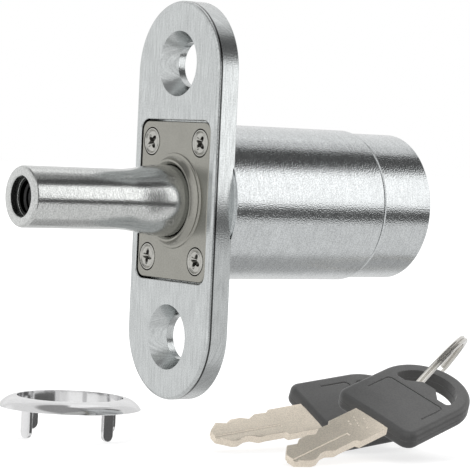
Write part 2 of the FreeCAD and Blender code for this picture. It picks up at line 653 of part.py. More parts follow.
def cam_centre():
    """The eccentric's centre across the axis, with the core at rest."""
    angle = math.radians(CAM_START_ANGLE)
    return Vector(0, CAM_ECCENTRICITY * math.cos(angle), CAM_ECCENTRICITY * math.sin(angle))


def core_cam():
    """Eccentric disc on the core's square tail."""
    centre = cam_centre() + Vector(CAM_REAR, 0, 0)
    cam = Part.makeCylinder(CAM_RADIUS, CAM_THICKNESS, centre, AXIS_X)
    half_tail = CORE_TAIL_SIZE / 2 + FIT_GAP
    tail_range = (-half_tail, half_tail)
    tail = block((CAM_FRONT - CORE_TAIL_LENGTH, CAM_FRONT), tail_range, tail_range)
    cam = cam.cut(tail)
    return cam.cut(cylinder_x(CAM_SCREW_HEAD_RADIUS + FIT_GAP, CAM_REAR, CAM_FRONT - CORE_TAIL_LENGTH))


def cam_screw():
    """Small screw that holds the eccentric on the core."""
    seat = CAM_FRONT - CORE_TAIL_LENGTH
    head = cylinder_x(CAM_SCREW_HEAD_RADIUS, CAM_REAR + SLIDE_GAP / 2, seat)
    return head.fuse(cylinder_x(CAM_SCREW_RADIUS, seat, seat + CAM_SCREW_LENGTH)).removeSplitter()


def locking_slide():
    """Yoke round the eccentric, with the bar that leaves the barrel when the key turns."""
    centre = cam_centre()
    half_window_y = CAM_RADIUS + CAM_ECCENTRICITY + YOKE_SIDE_PLAY
    half_window_z = CAM_RADIUS + WINDOW_GAP
    half_y = half_window_y + YOKE_WALL
    half_z = half_window_z + YOKE_WALL
    x_range = (CAM_REAR + SLIDE_GAP / 2, CAM_FRONT - SLIDE_GAP / 2)
    yoke = block(x_range, (-half_y, half_y), (centre.z - half_z, centre.z + half_z))
    top = BARREL_RADIUS - SLIDE_GAP
    half_bar = LOCKING_BAR_WIDTH / 2
    bar = block(x_range, (-half_bar, half_bar), (centre.z, top)).common(cylinder_x(top, *x_range))
    window = block(
        x_range, (-half_window_y, half_window_y), (centre.z - half_window_z, centre.z + half_window_z)
    )
    return yoke.fuse(bar).cut(window).removeSplitter()


def receiving_ring():
    """Raised rim ring with four prongs that are driven into the other door."""
    prong_foot = SURFACE_Z
    rim_base = prong_foot + RING_PRONG_LENGTH + RING_TUBE_LENGTH - RING_RIM_HEIGHT
    rim_top = rim_base + RING_RIM_HEIGHT
    tube_radius = RING_BORE_RADIUS + RING_WALL
    tube_base = rim_top - RING_TUBE_LENGTH - RING_WALL
    crown = Vector((tube_radius + RING_RIM_RADIUS) / 2, 0, rim_top - RING_CROWN_DROP)
    under = crown - Vector(0, 0, RING_WALL)
    outer_edge = Vector(RING_RIM_RADIUS, 0, rim_base)
    profile = [
        arc(Vector(RING_BORE_RADIUS, 0, rim_top), crown, outer_edge),
        Part.makeLine(outer_edge, Vector(RING_RIM_RADIUS - RING_WALL, 0, rim_base)),
        arc(
            Vector(RING_RIM_RADIUS - RING_WALL, 0, rim_base),
            under,
            Vector(tube_radius, 0, rim_top - RING_WALL),
        ),
        Part.makeLine(Vector(tube_radius, 0, rim_top - RING_WALL), Vector(tube_radius, 0, tube_base)),
        Part.makeLine(Vector(tube_radius, 0, tube_base), Vector(RING_BORE_RADIUS, 0, tube_base)),
        Part.makeLine(Vector(RING_BORE_RADIUS, 0, tube_base), Vector(RING_BORE_RADIUS, 0, rim_top)),
    ]
    ring = revolve(profile, AXIS_Z)
    foot = Vector(0, 0, prong_foot)
    prong_top = tube_base + RING_WALL
    height = prong_top - prong_foot
    tube = Part.makeCylinder(tube_radius + RING_PRONG_STEP, height, foot, AXIS_Z)
    tube = tube.cut(Part.makeCylinder(RING_BORE_RADIUS + RING_PRONG_STEP, height, foot, AXIS_Z))
    for index in range(RING_PRONG_COUNT):
        angle = RING_FIRST_PRONG_ANGLE + 360.0 / RING_PRONG_COUNT * index
        ring = ring.fuse(prong(tube, prong_foot, prong_top, angle))
    ring.translate(Vector(*RING_CENTRE, 0))
    return ring.removeSplitter()


def prong(tube, foot, top, angle):
    """One prong cut out of the ring's tube, with a rounded tip."""
    half_width = RING_PRONG_WIDTH / 2
    straight = block((0, 2 * RING_RIM_RADIUS), (-half_width, half_width), (foot + half_width, top))
    tip = Part.makeCylinder(half_width, 2 * RING_RIM_RADIUS, Vector(0, 0, foot + half_width), AXIS_X)
    outline = straight.fuse(tip)
    outline.rotate(Vector(0, 0, 0), AXIS_Z, angle)
    return tube.common(outline)


def head_outline(inset):
    """The key head's outline: a straight front with rounded corners and a round back."""
    half = KEY_HEAD_WIDTH / 2 - inset
    front = -inset
    corner = KEY_HEAD_CORNER
    turn = corner * (1 - math.sqrt(0.5))
    shoulder = -KEY_HEAD_LENGTH + KEY_HEAD_WIDTH / 2
    back = -KEY_HEAD_LENGTH + inset
    points = [
        Vector(front, -half + corner, 0),
        Vector(front, half - corner, 0),
        Vector(front - corner, half, 0),
        Vector(shoulder, half, 0),
        Vector(shoulder, -half, 0),
        Vector(front - corner, -half, 0),
    ]
    return [
        Part.makeLine(points[0], points[1]),
        arc(points[1], Vector(front - turn, half - turn, 0), points[2]),
        Part.makeLine(points[2], points[3]),
        arc(points[3], Vector(back, 0, 0), points[4]),
        Part.makeLine(points[4], points[5]),
        arc(points[5], Vector(front - turn, -half + turn, 0), points[0]),
    ]


def head_slot():
    """The crescent slot in the key head, with a tongue on its front side."""
    half = KEY_HEAD_WIDTH / 2 - KEY_BOW_WIDTH
    back = -KEY_HEAD_LENGTH + KEY_BOW_WIDTH
    front = back + KEY_SLOT_LENGTH
    shoulder = -KEY_HEAD_LENGTH + KEY_HEAD_WIDTH / 2
    prism_depth = Vector(0, 0, 2 * KEY_HEAD_THICKNESS)
    base = -KEY_HEAD_THICKNESS
    ring = Part.makeCylinder(half, 2 * KEY_HEAD_THICKNESS, Vector(shoulder, 0, base), AXIS_Z)
    keep = block((back, front), (-half, half), (base, KEY_HEAD_THICKNESS))
    half_tongue = KEY_TONGUE_WIDTH / 2
    tongue = Part.Face(
        Part.Wire(
            polyline(
                [
                    Vector(front, -half_tongue - KEY_TONGUE_HEIGHT, base),
                    Vector(front - KEY_TONGUE_HEIGHT, -half_tongue, base),
                    Vector(front - KEY_TONGUE_HEIGHT, half_tongue, base),
                    Vector(front, half_tongue + KEY_TONGUE_HEIGHT, base),
                ]
            )
        )
    ).extrude(prism_depth)
    slot = ring.common(keep)
    upright = [e for e in slot.Edges if abs(e.tangentAt(e.FirstParameter).z) > 0.99]
    return slot.makeFillet(KEY_SLOT_CORNER, upright).cut(tongue)


def head_frame_grooves():
    """Thin frame line with a rounded outline, open towards the blade, sunk into both faces."""
    half = KEY_FRAME_WIDTH / 2
    half_thickness = KEY_HEAD_THICKNESS / 2
    front = KEY_FRAME_FRONT + KEY_FRAME_CORNER
    grooves = []
    for low, high in (
        (half_thickness - KEY_FRAME_DEPTH, KEY_HEAD_THICKNESS),
        (-KEY_HEAD_THICKNESS, KEY_FRAME_DEPTH - half_thickness),
    ):
        outer = rounded_block((KEY_FRAME_BACK, front), half, (low, high), KEY_FRAME_CORNER)
        inner = rounded_block(
            (KEY_FRAME_BACK + KEY_FRAME_GROOVE, front),
            half - KEY_FRAME_GROOVE,
            (low, high),
            KEY_FRAME_CORNER - KEY_FRAME_GROOVE,
        )
        keep = block((KEY_FRAME_BACK, KEY_FRAME_FRONT), (-half, half), (low, high))
        grooves.append(outer.cut(inner).common(keep))
    return grooves


def rounded_block(x_range, half_width, z_range, radius):
    """A box centred across the key whose upright edges are rounded."""
    body = block(x_range, (-half_width, half_width), z_range)
    upright = [e for e in body.Edges if abs(e.tangentAt(e.FirstParameter).z) > 0.99]
    return body.makeFillet(radius, upright)


def key_head():
    """Moulded key head round the blade's tang, in the key's own frame."""
    half_thickness = KEY_HEAD_THICKNESS / 2
    face = Part.Face(Part.Wire(head_outline(0)))
    head = face.extrude(Vector(0, 0, KEY_HEAD_THICKNESS))
    head.translate(Vector(0, 0, -half_thickness))
    flat = [e for e in head.Edges if abs(e.BoundBox.ZMax - e.BoundBox.ZMin) < SAME_PLANE]
    head = head.makeFillet(KEY_HEAD_EDGE_ROUND, flat)
    head = head.cut(head_slot())
    for groove in head_frame_grooves():
        head = head.cut(groove)
    half_tang = BLADE_TANG_WIDTH / 2 + FIT_GAP
    half_blade = BLADE_THICKNESS / 2 + FIT_GAP
    pocket = block(
        (-BLADE_TANG_LENGTH - FIT_GAP, 0), (-half_tang, half_tang), (-half_blade, half_blade)
    )
    return head.cut(pocket).removeSplitter()


def cut_edge(shares, depths, side):
    """Points of one cut edge of the blade, from the neck to the tip."""
    return [
        Vector(BLADE_LENGTH * share, side * (BLADE_WIDTH / 2 - depth), 0)
        for share, depth in zip(shares, depths)
    ]


def key_blade():
    """Flat blade with a neck, stepped cuts on both edges, grooves and a tang, in the key's own frame."""
    half_tang = BLADE_TANG_WIDTH / 2
    half_neck = BLADE_NECK_WIDTH / 2
    half_tip = BLADE_TIP_WIDTH / 2
    right = cut_edge(RIGHT_CUT_SHARES, RIGHT_CUT_DEPTHS, -1)
    left = cut_edge(LEFT_CUT_SHARES, LEFT_CUT_DEPTHS, 1)
    points = [
        Vector(-BLADE_TANG_LENGTH, -half_tang, 0),
        Vector(0, -half_tang, 0),
        Vector(0, -half_neck, 0),
        Vector(BLADE_NECK_LENGTH, -half_neck, 0),
    ]
    points += right
    points += [Vector(BLADE_LENGTH, -half_tip, 0), Vector(BLADE_LENGTH, half_tip, 0)]
    points += left[::-1]
    points += [
        Vector(BLADE_NECK_LENGTH, half_neck, 0),
        Vector(0, half_neck, 0),
        Vector(0, half_tang, 0),
        Vector(-BLADE_TANG_LENGTH, half_tang, 0),
    ]
    blade = Part.Face(Part.Wire(polyline(points))).extrude(Vector(0, 0, BLADE_THICKNESS))
    blade.translate(Vector(0, 0, -BLADE_THICKNESS / 2))
    for side in (-1, 1):
        centre_y = side * BLADE_GROOVE_SPACING / 2
        y_range = (centre_y - BLADE_GROOVE_WIDTH / 2, centre_y + BLADE_GROOVE_WIDTH / 2)
        face_z = side * BLADE_THICKNESS / 2
        floor_z = side * (BLADE_THICKNESS / 2 - BLADE_GROOVE_DEPTH)
        z_range = (min(face_z, floor_z), max(face_z, floor_z))
        blade = blade.cut(block((BLADE_NECK_LENGTH, BLADE_LENGTH), y_range, z_range))
    return blade.removeSplitter()


def key_placement(place, turn):
    """Placement of a key whose lowest point touches the surface."""
    placement = Placement(Vector(*place, 0), Rotation(*turn))
    blade = key_blade()
    head = key_head()
    blade.Placement = placement
    head.Placement = placement
    lowest = min(blade.optimalBoundingBox().ZMin, head.optimalBoundingBox().ZMin)
    placement.Base = Vector(*place, SURFACE_Z - lowest)
    return placement


def placed(shape, placement):
    """A copy of a shape, moved to its placement."""
    shape.Placement = placement
    return shape


def split_ring_frame():
    """Placement of the split ring: its own X runs from the near key's slot to the far key's slot."""
    near = NEAR_KEY.multVec(Vector(*NEAR_RING_CROSSING, 0))
    far = FAR_KEY.multVec(Vector(*FAR_RING_CROSSING, 0))
    half_chord = (far - near).Length / 2
    along = (far - near).normalize()
    level = along.cross(AXIS_Z).normalize()
    lean = math.radians(SPLIT_RING_LEAN_ANGLE)
    rise = level * math.cos(lean) + level.cross(along) * math.sin(lean)
    height = math.sqrt(SPLIT_RING_RADIUS**2 - half_chord**2)
    centre = (near + far) * 0.5 + rise * height
    return Placement(centre, Rotation(along, rise, along.cross(rise), "ZXY"))


def split_ring():
    """Flat double coil with the seam between its turns and the gap at each turn's end."""
    half_width = SPLIT_RING_WIDTH / 2
    outer = SPLIT_RING_RADIUS + half_width
    inner = SPLIT_RING_RADIUS - half_width
    height = 2 * SPLIT_RING_COIL
    ring = Part.makeCylinder(outer, height).cut(Part.makeCylinder(inner, height))
    seam_base = Vector(0, 0, SPLIT_RING_COIL - SPLIT_RING_SEAM / 2)
    seam = Part.makeCylinder(outer, SPLIT_RING_SEAM, seam_base)
    seam = seam.cut(Part.makeCylinder(outer - SPLIT_RING_SEAM_DEPTH, SPLIT_RING_SEAM, seam_base))
    ring = ring.cut(seam)
    half_gap = SPLIT_RING_END_GAP / 2
    turns = ((0, SPLIT_RING_COIL), (SPLIT_RING_COIL, height))
    for angle, z_range in zip(SPLIT_RING_END_ANGLES, turns):
        notch = block((0, 2 * outer), (-half_gap, half_gap), z_range)
        notch.rotate(Vector(0, 0, 0), AXIS_Z, angle)
        ring = ring.cut(notch)
    ring.translate(Vector(0, 0, -SPLIT_RING_COIL))
    ring = ring.removeSplitter()
    ring.Placement = split_ring_frame()
    return ring


NEAR_KEY = key_placement(NEAR_KEY_PLACE, NEAR_KEY_ANGLES)
FAR_KEY = key_placement(FAR_KEY_PLACE, FAR_KEY_ANGLES)

NODES = {
    "flange_plate": flange_plate,
    "guide_plate": guide_plate,
    "guide_plate_screws": guide_plate_screws,
    "housing_sleeve": housing_sleeve,
    "front_ring": front_ring,
    "travel_pin": travel_pin,
    "bolt_tube": bolt_tube,
    "bolt_cross_pin": bolt_cross_pin,
    "return_spring": return_spring,
    "push_barrel": push_barrel,
    "barrel_end_plug": barrel_end_plug,
    "face_cap": face_cap,
    "cylinder_core": cylinder_core,
    "tumblers_up": lambda: tumblers("up"),
    "tumblers_down": lambda: tumblers("down"),
    "core_cam": core_cam,
    "cam_screw": cam_screw,
    "locking_slide": locking_slide,
    "receiving_ring": receiving_ring,
    "split_ring": split_ring,
    "near_key_blade": lambda: placed(key_blade(), NEAR_KEY),
    "near_key_head": lambda: placed(key_head(), NEAR_KEY),
    "far_key_blade": lambda: placed(key_blade(), FAR_KEY),
    "far_key_head": lambda: placed(key_head(), FAR_KEY),
}


def main():
    """Build every node and write one STEP file for each."""
    os.makedirs("parts", exist_ok=True)
    for name, build in NODES.items():
        shape = build()
        box = shape.optimalBoundingBox()
        print(
            f"{name}: solids {len(shape.Solids)}, valid {shape.isValid()}, volume {shape.Volume:.2f}, "
            f"x {box.XMin:.2f} to {box.XMax:.2f}, y {box.YMin:.2f} to {box.YMax:.2f}, "
            f"z {box.ZMin:.2f} to {box.ZMax:.2f}"
        )
        shape.exportStep(f"parts/{name}.step")


main()
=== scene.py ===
"""Looks of a sliding door cylinder lock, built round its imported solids.

The lock's axis is X, with the bolt towards -X. All lengths here are in metres, in the solids' own frame.
"""

import logging
import math
from dataclasses import dataclass
from enum import Enum
from typing import Callable, Sequence

import bmesh
import bpy
from mathutils import Euler, Matrix, Quaternion, Vector


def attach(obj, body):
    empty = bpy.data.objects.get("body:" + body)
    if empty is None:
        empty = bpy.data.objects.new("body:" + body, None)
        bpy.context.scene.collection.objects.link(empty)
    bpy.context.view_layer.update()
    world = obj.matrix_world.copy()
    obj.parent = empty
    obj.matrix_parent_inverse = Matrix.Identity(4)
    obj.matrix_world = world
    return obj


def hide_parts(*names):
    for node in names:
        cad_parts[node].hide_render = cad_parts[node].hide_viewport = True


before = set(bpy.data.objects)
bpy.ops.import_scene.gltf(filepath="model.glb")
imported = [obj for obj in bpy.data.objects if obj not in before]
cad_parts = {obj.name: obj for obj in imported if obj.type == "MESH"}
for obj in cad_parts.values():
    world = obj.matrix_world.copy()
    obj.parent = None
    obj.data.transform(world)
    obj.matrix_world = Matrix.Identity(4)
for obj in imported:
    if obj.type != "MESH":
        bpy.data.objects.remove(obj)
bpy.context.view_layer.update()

MM = 0.001
WELD = 0.0005 * MM
SHARP_ANGLE = math.radians(35)
LOG = logging.getLogger("lock")

Colour = tuple[float, float, float]
BLACK: Colour = (0.0, 0.0, 0.0)
WHITE: Colour = (1.0, 1.0, 1.0)

ORIGIN = (0.0, 0.0, 0.0)
X_AXIS = (1.0, 0.0, 0.0)
Z_AXIS = (0.0, 0.0, 1.0)

FLOAT = "NodeSocketFloat"
VECTOR = "NodeSocketVector"

# A face stands edgewise to an axis when less than this much of its normal points along it
EDGEWISE = 0.5

# What stands for the lines of a finish that has none: the middle of their range
NO_LINES = 0.5


class Lay(Enum):
    """How the lines of a metal's last machining run."""

    UPRIGHT = "upright"
    ROUND_X = "round_x"
    ROUND_Z = "round_z"
    GRAIN = "grain"


class Graph:
    """Adds nodes to one node tree and links them."""

    def __init__(self, tree: bpy.types.NodeTree) -> None:
        """Keep the tree.

        Args:
            tree: The node tree of a material, a world or a group.
        """
        self.tree = tree

    def feed(self, node: bpy.types.Node, inputs: dict) -> bpy.types.Node:
        """Set or link a node's inputs.

        Args:
            node: The node.
            inputs: Values or sockets, by the input's name or index.

        Returns:
            The same node.
        """
        for name, value in inputs.items():
            if isinstance(value, bpy.types.NodeSocket):
                self.tree.links.new(value, node.inputs[name])
            else:
                node.inputs[name].default_value = value
        return node

    def add(self, kind: str, inputs: dict | None = None, **settings: object) -> bpy.types.Node:
        """Add one node.

        Args:
            kind: The node's type name, without the leading "ShaderNode".
            inputs: Values or sockets for its inputs, by name or index.
            settings: Plain settings of the node.

        Returns:
            The new node.
        """
        node = self.tree.nodes.new(kind if kind.startswith("NodeGroup") else "ShaderNode" + kind)
        for name, value in settings.items():
            setattr(node, name, value)
        return self.feed(node, inputs or {})

    def shared(self, tree: bpy.types.NodeTree, inputs: dict) -> bpy.types.bpy_prop_collection:
        """Place a shared group with its own values or sockets, and give its outputs."""
        return self.add("Group", inputs, node_tree=tree).outputs

    def parts(self, vector: object) -> bpy.types.bpy_prop_collection:
        """Split a vector into its three parts."""
        return self.add("SeparateXYZ", {0: vector}).outputs

    def noise(self, place: object, scale: object, detail: float) -> bpy.types.NodeSocket:
        """Add noise, 0 to 1."""
        return self.add("TexNoise", {"Vector": place, "Scale": scale, "Detail": detail}).outputs[0]

    def maths(
        self, operation: str, first: object, second: object = 0.0, third: object = 0.0
    ) -> bpy.types.NodeSocket:
        """Add one sum, product or other step of arithmetic.

        Args:
            operation: The Math node's operation.
            first: The first value or socket.
            second: The second value or socket.
            third: The third value or socket, for the few operations that have one.

        Returns:
            The result's socket.
        """
        return self.add("Math", {0: first, 1: second, 2: third}, operation=operation).outputs[0]

    def vector(self, operation: str, first: object, second: object = ORIGIN) -> bpy.types.NodeSocket:
        """Add one step of vector arithmetic.

        Args:
            operation: The Vector Math node's operation.
            first: The first vector or socket.
            second: The second one, or the factor of SCALE.

        Returns:
            The result's socket: a number for a dot product, a vector for the others.
        """
        other = 3 if operation == "SCALE" else 1
        node = self.add("VectorMath", {0: first, other: second}, operation=operation)
        return node.outputs["Value" if operation == "DOT_PRODUCT" else "Vector"]

    def radius(self, first: object, second: object) -> bpy.types.NodeSocket:
        """Work out the distance from an axis, from the two coordinates across it."""
        squares = self.maths("MULTIPLY_ADD", first, first, self.maths("MULTIPLY", second, second))
        return self.maths("SQRT", squares)

    def ranged(
        self, value: object, low: float, high: float, to_low: float = 0.0, to_high: float = 1.0
    ) -> bpy.types.NodeSocket:
        """Spread a value smoothly from one range over another.

        Args:
            value: The value or socket.
            low: The value that gives to_low.
            high: The value that gives to_high.
            to_low: The result at low.
            to_high: The result at high.

        Returns:
            The result's socket.
        """
        sizes = {"Value": value, "From Min": low, "From Max": high, "To Min": to_low, "To Max": to_high}
        return self.add("MapRange", sizes, interpolation_type="SMOOTHSTEP").outputs["Result"]

    def blend(self, share: object, first: object, second: object) -> bpy.types.NodeSocket:
        """Blend two colours.

        Args:
            share: How much of the second colour, from 0 to 1.
            first: The first colour or socket.
            second: The second colour or socket.

        Returns:
            The blended colour's socket.
        """
        return self.add("Mix", {0: share, 6: first, 7: second}, data_type="RGBA").outputs[2]


def rgba(colour: Colour) -> tuple[float, float, float, float]:
    """Give an opaque colour its fourth value."""
    return (*colour, 1.0)


def scaled(colour: Colour, share: float) -> tuple[float, float, float, float]:
    """Lighten or darken a colour, up to white, and make it opaque."""
    return rgba(tuple(min(1.0, value * share) for value in colour))


def new_group(
    name: str, vectors: Sequence[str], floats: dict[str, float], gives: dict[str, str]
) -> tuple[Graph, bpy.types.bpy_prop_collection, bpy.types.Node]:
    """Start a shader node group with named sockets.

    Args:
        name: The group's name.
        vectors: The names of its vector inputs.
        floats: Its plain inputs, each with its default.
        gives: Its outputs, each with its socket type.

    Returns:
        The group's graph, the sockets that bring its inputs, and its output node.
    """
    tree = bpy.data.node_groups.new(name, "ShaderNodeTree")
    for label in vectors:
        tree.interface.new_socket(label, in_out="INPUT", socket_type=VECTOR)
    for label, default in floats.items():
        tree.interface.new_socket(label, in_out="INPUT", socket_type=FLOAT).default_value = default
    for label, kind in gives.items():
        tree.interface.new_socket(label, in_out="OUTPUT", socket_type=kind)
    graph = Graph(tree)
    return graph, graph.add("NodeGroupInput").outputs, graph.add("NodeGroupOutput")


class Effects:
    """The effects that several finishes share, each a shader node group."""

    # The grain's noise has little detail, because slopes finer than a pixel only blur the reflections
    GRAIN_DETAIL = 0.6
    CLOUD_DETAIL = 2.0
    CLOUD_SCALE = 0.06
    GRAIN_RANGE = (0.25, 0.75)

    # Fine and broad lines: the detail and the share of each, and the broad ones' scale
    LINE_DETAILS = (2.0, 1.0)
    LINE_SHARES = (0.8, 0.2)
    BROAD_SCALE = 0.3
    LINE_RANGE = (0.3, 0.7)

    # Radius of the circle on which the lines of a turned finish are drawn
    LAY_REACH = 8.0 * MM

    # How alike the softened and the flat normal are where an edge begins and where it is full
    EDGE_RANGE = (0.985, 0.8)
    EDGE_SAMPLES = 4

    # A face is a turned one when this much of its slope across the axis points away from the axis
    TURNED_SHARE = 0.93
    LEAST_SLOPE = 0.001

    def __init__(self) -> None:
        """Build every group once."""
        self.grain = self._grain()
        self.lay_lines = self._lay_lines()
        self.round_lay = self._round_lay()
        self.edges = self._edges()
        self.round_normal = self._round_normal()
        self.bore = self._bore_shade()
        self.painted_shade_line = self._painted_shade_line()
        self.camber = self._camber()

    def _grain(self) -> bpy.types.NodeTree:
        """Build fine blasted grain, with a coarser cloudiness under it.

        Returns:
            The group: Vector and Size in, Grain and Cloud out, both 0 to 1.
        """
        gives = {"Grain": FLOAT, "Cloud": FLOAT}
        graph, given, out = new_group("fine_grain", ["Vector"], {"Size": 0.2 * MM}, gives)
        scale = graph.maths("DIVIDE", 1.0, given["Size"])
        fine = graph.noise(given["Vector"], scale, self.GRAIN_DETAIL)
        broad_scale = graph.maths("MULTIPLY", scale, self.CLOUD_SCALE)
        broad = graph.noise(given["Vector"], broad_scale, self.CLOUD_DETAIL)
        for name, noise in (("Grain", fine), ("Cloud", broad)):
            graph.feed(out, {name: graph.ranged(noise, *self.GRAIN_RANGE)})
        return graph.tree

    def _lay_lines(self) -> bpy.types.NodeTree:
        """Build brushed lines: noise drawn out along the lay, at two widths.

        Returns:
            The group: Across, Along, Side, Width and Stretch in, Lines out.
        """
        floats = {"Across": 0.0, "Along": 0.0, "Side": 0.0, "Width": 0.2 * MM, "Stretch": 30.0}
        graph, given, out = new_group("lay_lines", [], floats, {"Lines": FLOAT})
        along = graph.maths("DIVIDE", given["Along"], given["Stretch"])
        side = graph.maths("DIVIDE", given["Side"], given["Stretch"])
        place = graph.add("CombineXYZ", {"X": given["Across"], "Y": along, "Z": side}).outputs[0]
        scale = graph.maths("DIVIDE", 1.0, given["Width"])
        fine = graph.noise(place, scale, self.LINE_DETAILS[0])
        broad = graph.noise(place, graph.maths("MULTIPLY", scale, self.BROAD_SCALE), self.LINE_DETAILS[1])
        under = graph.maths("MULTIPLY", broad, self.LINE_SHARES[1])
        both = graph.maths("MULTIPLY_ADD", fine, self.LINE_SHARES[0], under)
        graph.feed(out, {"Lines": graph.ranged(both, *self.LINE_RANGE)})
        return graph.tree

    def _round_lay(self) -> bpy.types.NodeTree:
        """Build the coordinates of a turned piece, without a seam round its axis.

        Returns:
            The group: Axial, First and Second in (a point along and across the axis), Across, Along and
            Side out, the last two on a circle as large as the lay's reach.
        """
        floats = {"Axial": 0.0, "First": 0.0, "Second": 0.0}
        gives = {"Across": FLOAT, "Along": FLOAT, "Side": FLOAT}
        graph, given, out = new_group("turned_lay", [], floats, gives)
        radius = graph.maths("MAXIMUM", graph.radius(given["First"], given["Second"]), WELD)
        graph.feed(out, {"Across": graph.maths("ADD", given["Axial"], radius)})
        for name, source in (("Along", "First"), ("Side", "Second")):
            on_circle = graph.maths("DIVIDE", given[source], radius)
            graph.feed(out, {name: graph.maths("MULTIPLY", on_circle, self.LAY_REACH)})
        return graph.tree

    def _edges(self) -> bpy.types.NodeTree:
        """Build softened edges, and the mask where their colour is lightened as a painted highlight.

        Returns:
            The group: Radius in, Mask (1 on an edge, where the painted highlight goes) and Normal (rounded)
                out.
        """
        gives = {"Mask": FLOAT, "Normal": VECTOR}
        graph, given, out = new_group("soft_edges_with_highlight", [], {"Radius": 0.15 * MM}, gives)
        soft = graph.add("Bevel", {"Radius": given["Radius"]}, samples=self.EDGE_SAMPLES).outputs[0]
        flat = graph.add("NewGeometry").outputs["Normal"]
        alike = graph.vector("DOT_PRODUCT", soft, flat)
        graph.feed(out, {"Mask": graph.ranged(alike, *self.EDGE_RANGE), "Normal": soft})
        return graph.tree

    def _round_normal(self) -> bpy.types.NodeTree:
        """Build the true round normal of a turned face, so that its facets don't show in reflections.

        Returns:
            The group: Vector (from the axis), Axis and Normal in, Normal out; a face that isn't turned
            keeps its own normal.
        """
        takes = ["Vector", "Axis", "Normal"]
        graph, given, out = new_group("round_normal", takes, {}, {"Normal": VECTOR})
        place, axis, normal = (given[name] for name in takes)
        up = graph.vector("DOT_PRODUCT", place, axis)
        level = graph.vector("SUBTRACT", place, graph.vector("SCALE", axis, up))
        radial = graph.vector("NORMALIZE", level)
        along = graph.vector("DOT_PRODUCT", normal, axis)
        side = graph.vector("DOT_PRODUCT", normal, radial)
        rest = graph.maths("SUBTRACT", 1.0, graph.maths("MULTIPLY", along, along))
        across = graph.maths("SQRT", graph.maths("MAXIMUM", rest, 0.0))
        signed = graph.maths("MULTIPLY", graph.maths("SIGN", side), across)
        lengthwise, outwards = graph.vector("SCALE", axis, along), graph.vector("SCALE", radial, signed)
        slope = graph.maths("MAXIMUM", across, self.LEAST_SLOPE)
        share = graph.maths("DIVIDE", graph.maths("ABSOLUTE", side), slope)
        is_turned = graph.maths("GREATER_THAN", share, self.TURNED_SHARE)
        choice = {0: is_turned, 4: normal, 5: graph.vector("ADD", lengthwise, outwards)}
        graph.feed(out, {"Normal": graph.add("Mix", choice, data_type="VECTOR").outputs[1]})
        return graph.tree

    def _edgewise(self, graph: Graph, normal: bpy.types.NodeSocket) -> bpy.types.NodeSocket:
        """Say whether a face stands edgewise to X."""
        facing = graph.maths("ABSOLUTE", graph.parts(normal)[0])
        return graph.maths("LESS_THAN", facing, EDGEWISE)

    def _painted_shade_line(self) -> bpy.types.NodeTree:
        """Build a thin band of painted shade at one depth along X, on faces that don't look along X.

        Returns:
            The group: Vector, Normal, Place and Half in, Mask out.
        """
        floats = {"Place": 0.0, "Half": 0.1 * MM}
        graph, given, out = new_group("painted_shade_band", ["Vector", "Normal"], floats, {"Mask": FLOAT})
        away = graph.maths("SUBTRACT", graph.parts(given["Vector"])[0], given["Place"])
        near = graph.maths("LESS_THAN", graph.maths("ABSOLUTE", away), given["Half"])
        graph.feed(out, {"Mask": graph.maths("MULTIPLY", near, self._edgewise(graph, given["Normal"]))})
        return graph.tree

    def _camber(self) -> bpy.types.NodeTree:
        """Build the slight belly along Z that polishing leaves on a plate's side faces.

        Returns:
            The group: Vector, Normal, Rate (tilt for each length of Z), Middle and Reach in, Normal out.
        """
        floats = {"Rate": 0.0, "Middle": 0.0, "Reach": 0.0}
        graph, given, out = new_group("polished_belly", ["Vector", "Normal"], floats, {"Normal": VECTOR})
        away = graph.maths("SUBTRACT", graph.parts(given["Vector"])[2], given["Middle"])
        least = graph.maths("MULTIPLY", given["Reach"], -1.0)
        held = graph.maths("MINIMUM", given["Reach"], graph.maths("MAXIMUM", away, least))
        full = graph.maths("MULTIPLY", held, given["Rate"])
        tilt = graph.maths("MULTIPLY", full, self._edgewise(graph, given["Normal"]))
        lean = graph.add("CombineXYZ", {"Z": tilt}).outputs[0]
        leant = graph.vector("ADD", given["Normal"], lean)
        graph.feed(out, {"Normal": graph.vector("NORMALIZE", leant)})
        return graph.tree

    def _bore_shade(self) -> bpy.types.NodeTree:
        """Build the painted shade inside a bore along X.

        Returns:
            The group: Vector, Radius and Mouth (where the bore opens, along X) in, Mask out.
        """
        floats = {"Radius": 3.0 * MM, "Mouth": 0.0}
        graph, given, out = new_group("painted_bore_shade", ["Vector"], floats, {"Mask": FLOAT})
        parts = graph.parts(given["Vector"])
        inside = graph.maths("LESS_THAN", graph.radius(parts[1], parts[2]), given["Radius"])
        deep = graph.maths("GREATER_THAN", parts[0], given["Mouth"])
        graph.feed(out, {"Mask": graph.maths("MULTIPLY", inside, deep)})
        return graph.tree


EFFECTS = Effects()


@dataclass(frozen=True)
class BoreShade:
    """A bore along X whose inside is darkened with painted shade."""

    radius: float
    mouth: float
    shade: float


@dataclass(frozen=True)
class PaintedShadeLine:
    """A thin band of painted shade at one depth along X: a painted dark reflection along the plate's edge,
    painted shade in the housing's seam groove and round the screws' recesses.
    """

    place: float
    half: float
    shade: float = 0.1


@dataclass(frozen=True)
class Belly:
    """A slight belly along Z on a plate's side faces: its tilt for each metre, its middle and its reach."""

    rate: float
    middle: float
    reach: float


def bare_graph(owner: bpy.types.ID) -> Graph:
    """Empty the node tree of a material or a world.

    Args:
        owner: The material or world.

    Returns:
        The graph of its empty tree.
    """
    owner.use_nodes = True
    owner.node_tree.nodes.clear()
    return Graph(owner.node_tree)


def blank_material(name: str) -> tuple[bpy.types.Material, Graph, bpy.types.Node]:
    """Start a material that holds only a Principled shader.

    Args:
        name: The material's name.

    Returns:
        The material, its graph and its shader node.
    """
    material = bpy.data.materials.new(name)
    graph = bare_graph(material)
    shader = graph.add("BsdfPrincipled")
    graph.add("OutputMaterial", {"Surface": shader.outputs[0]})
    return material, graph, shader


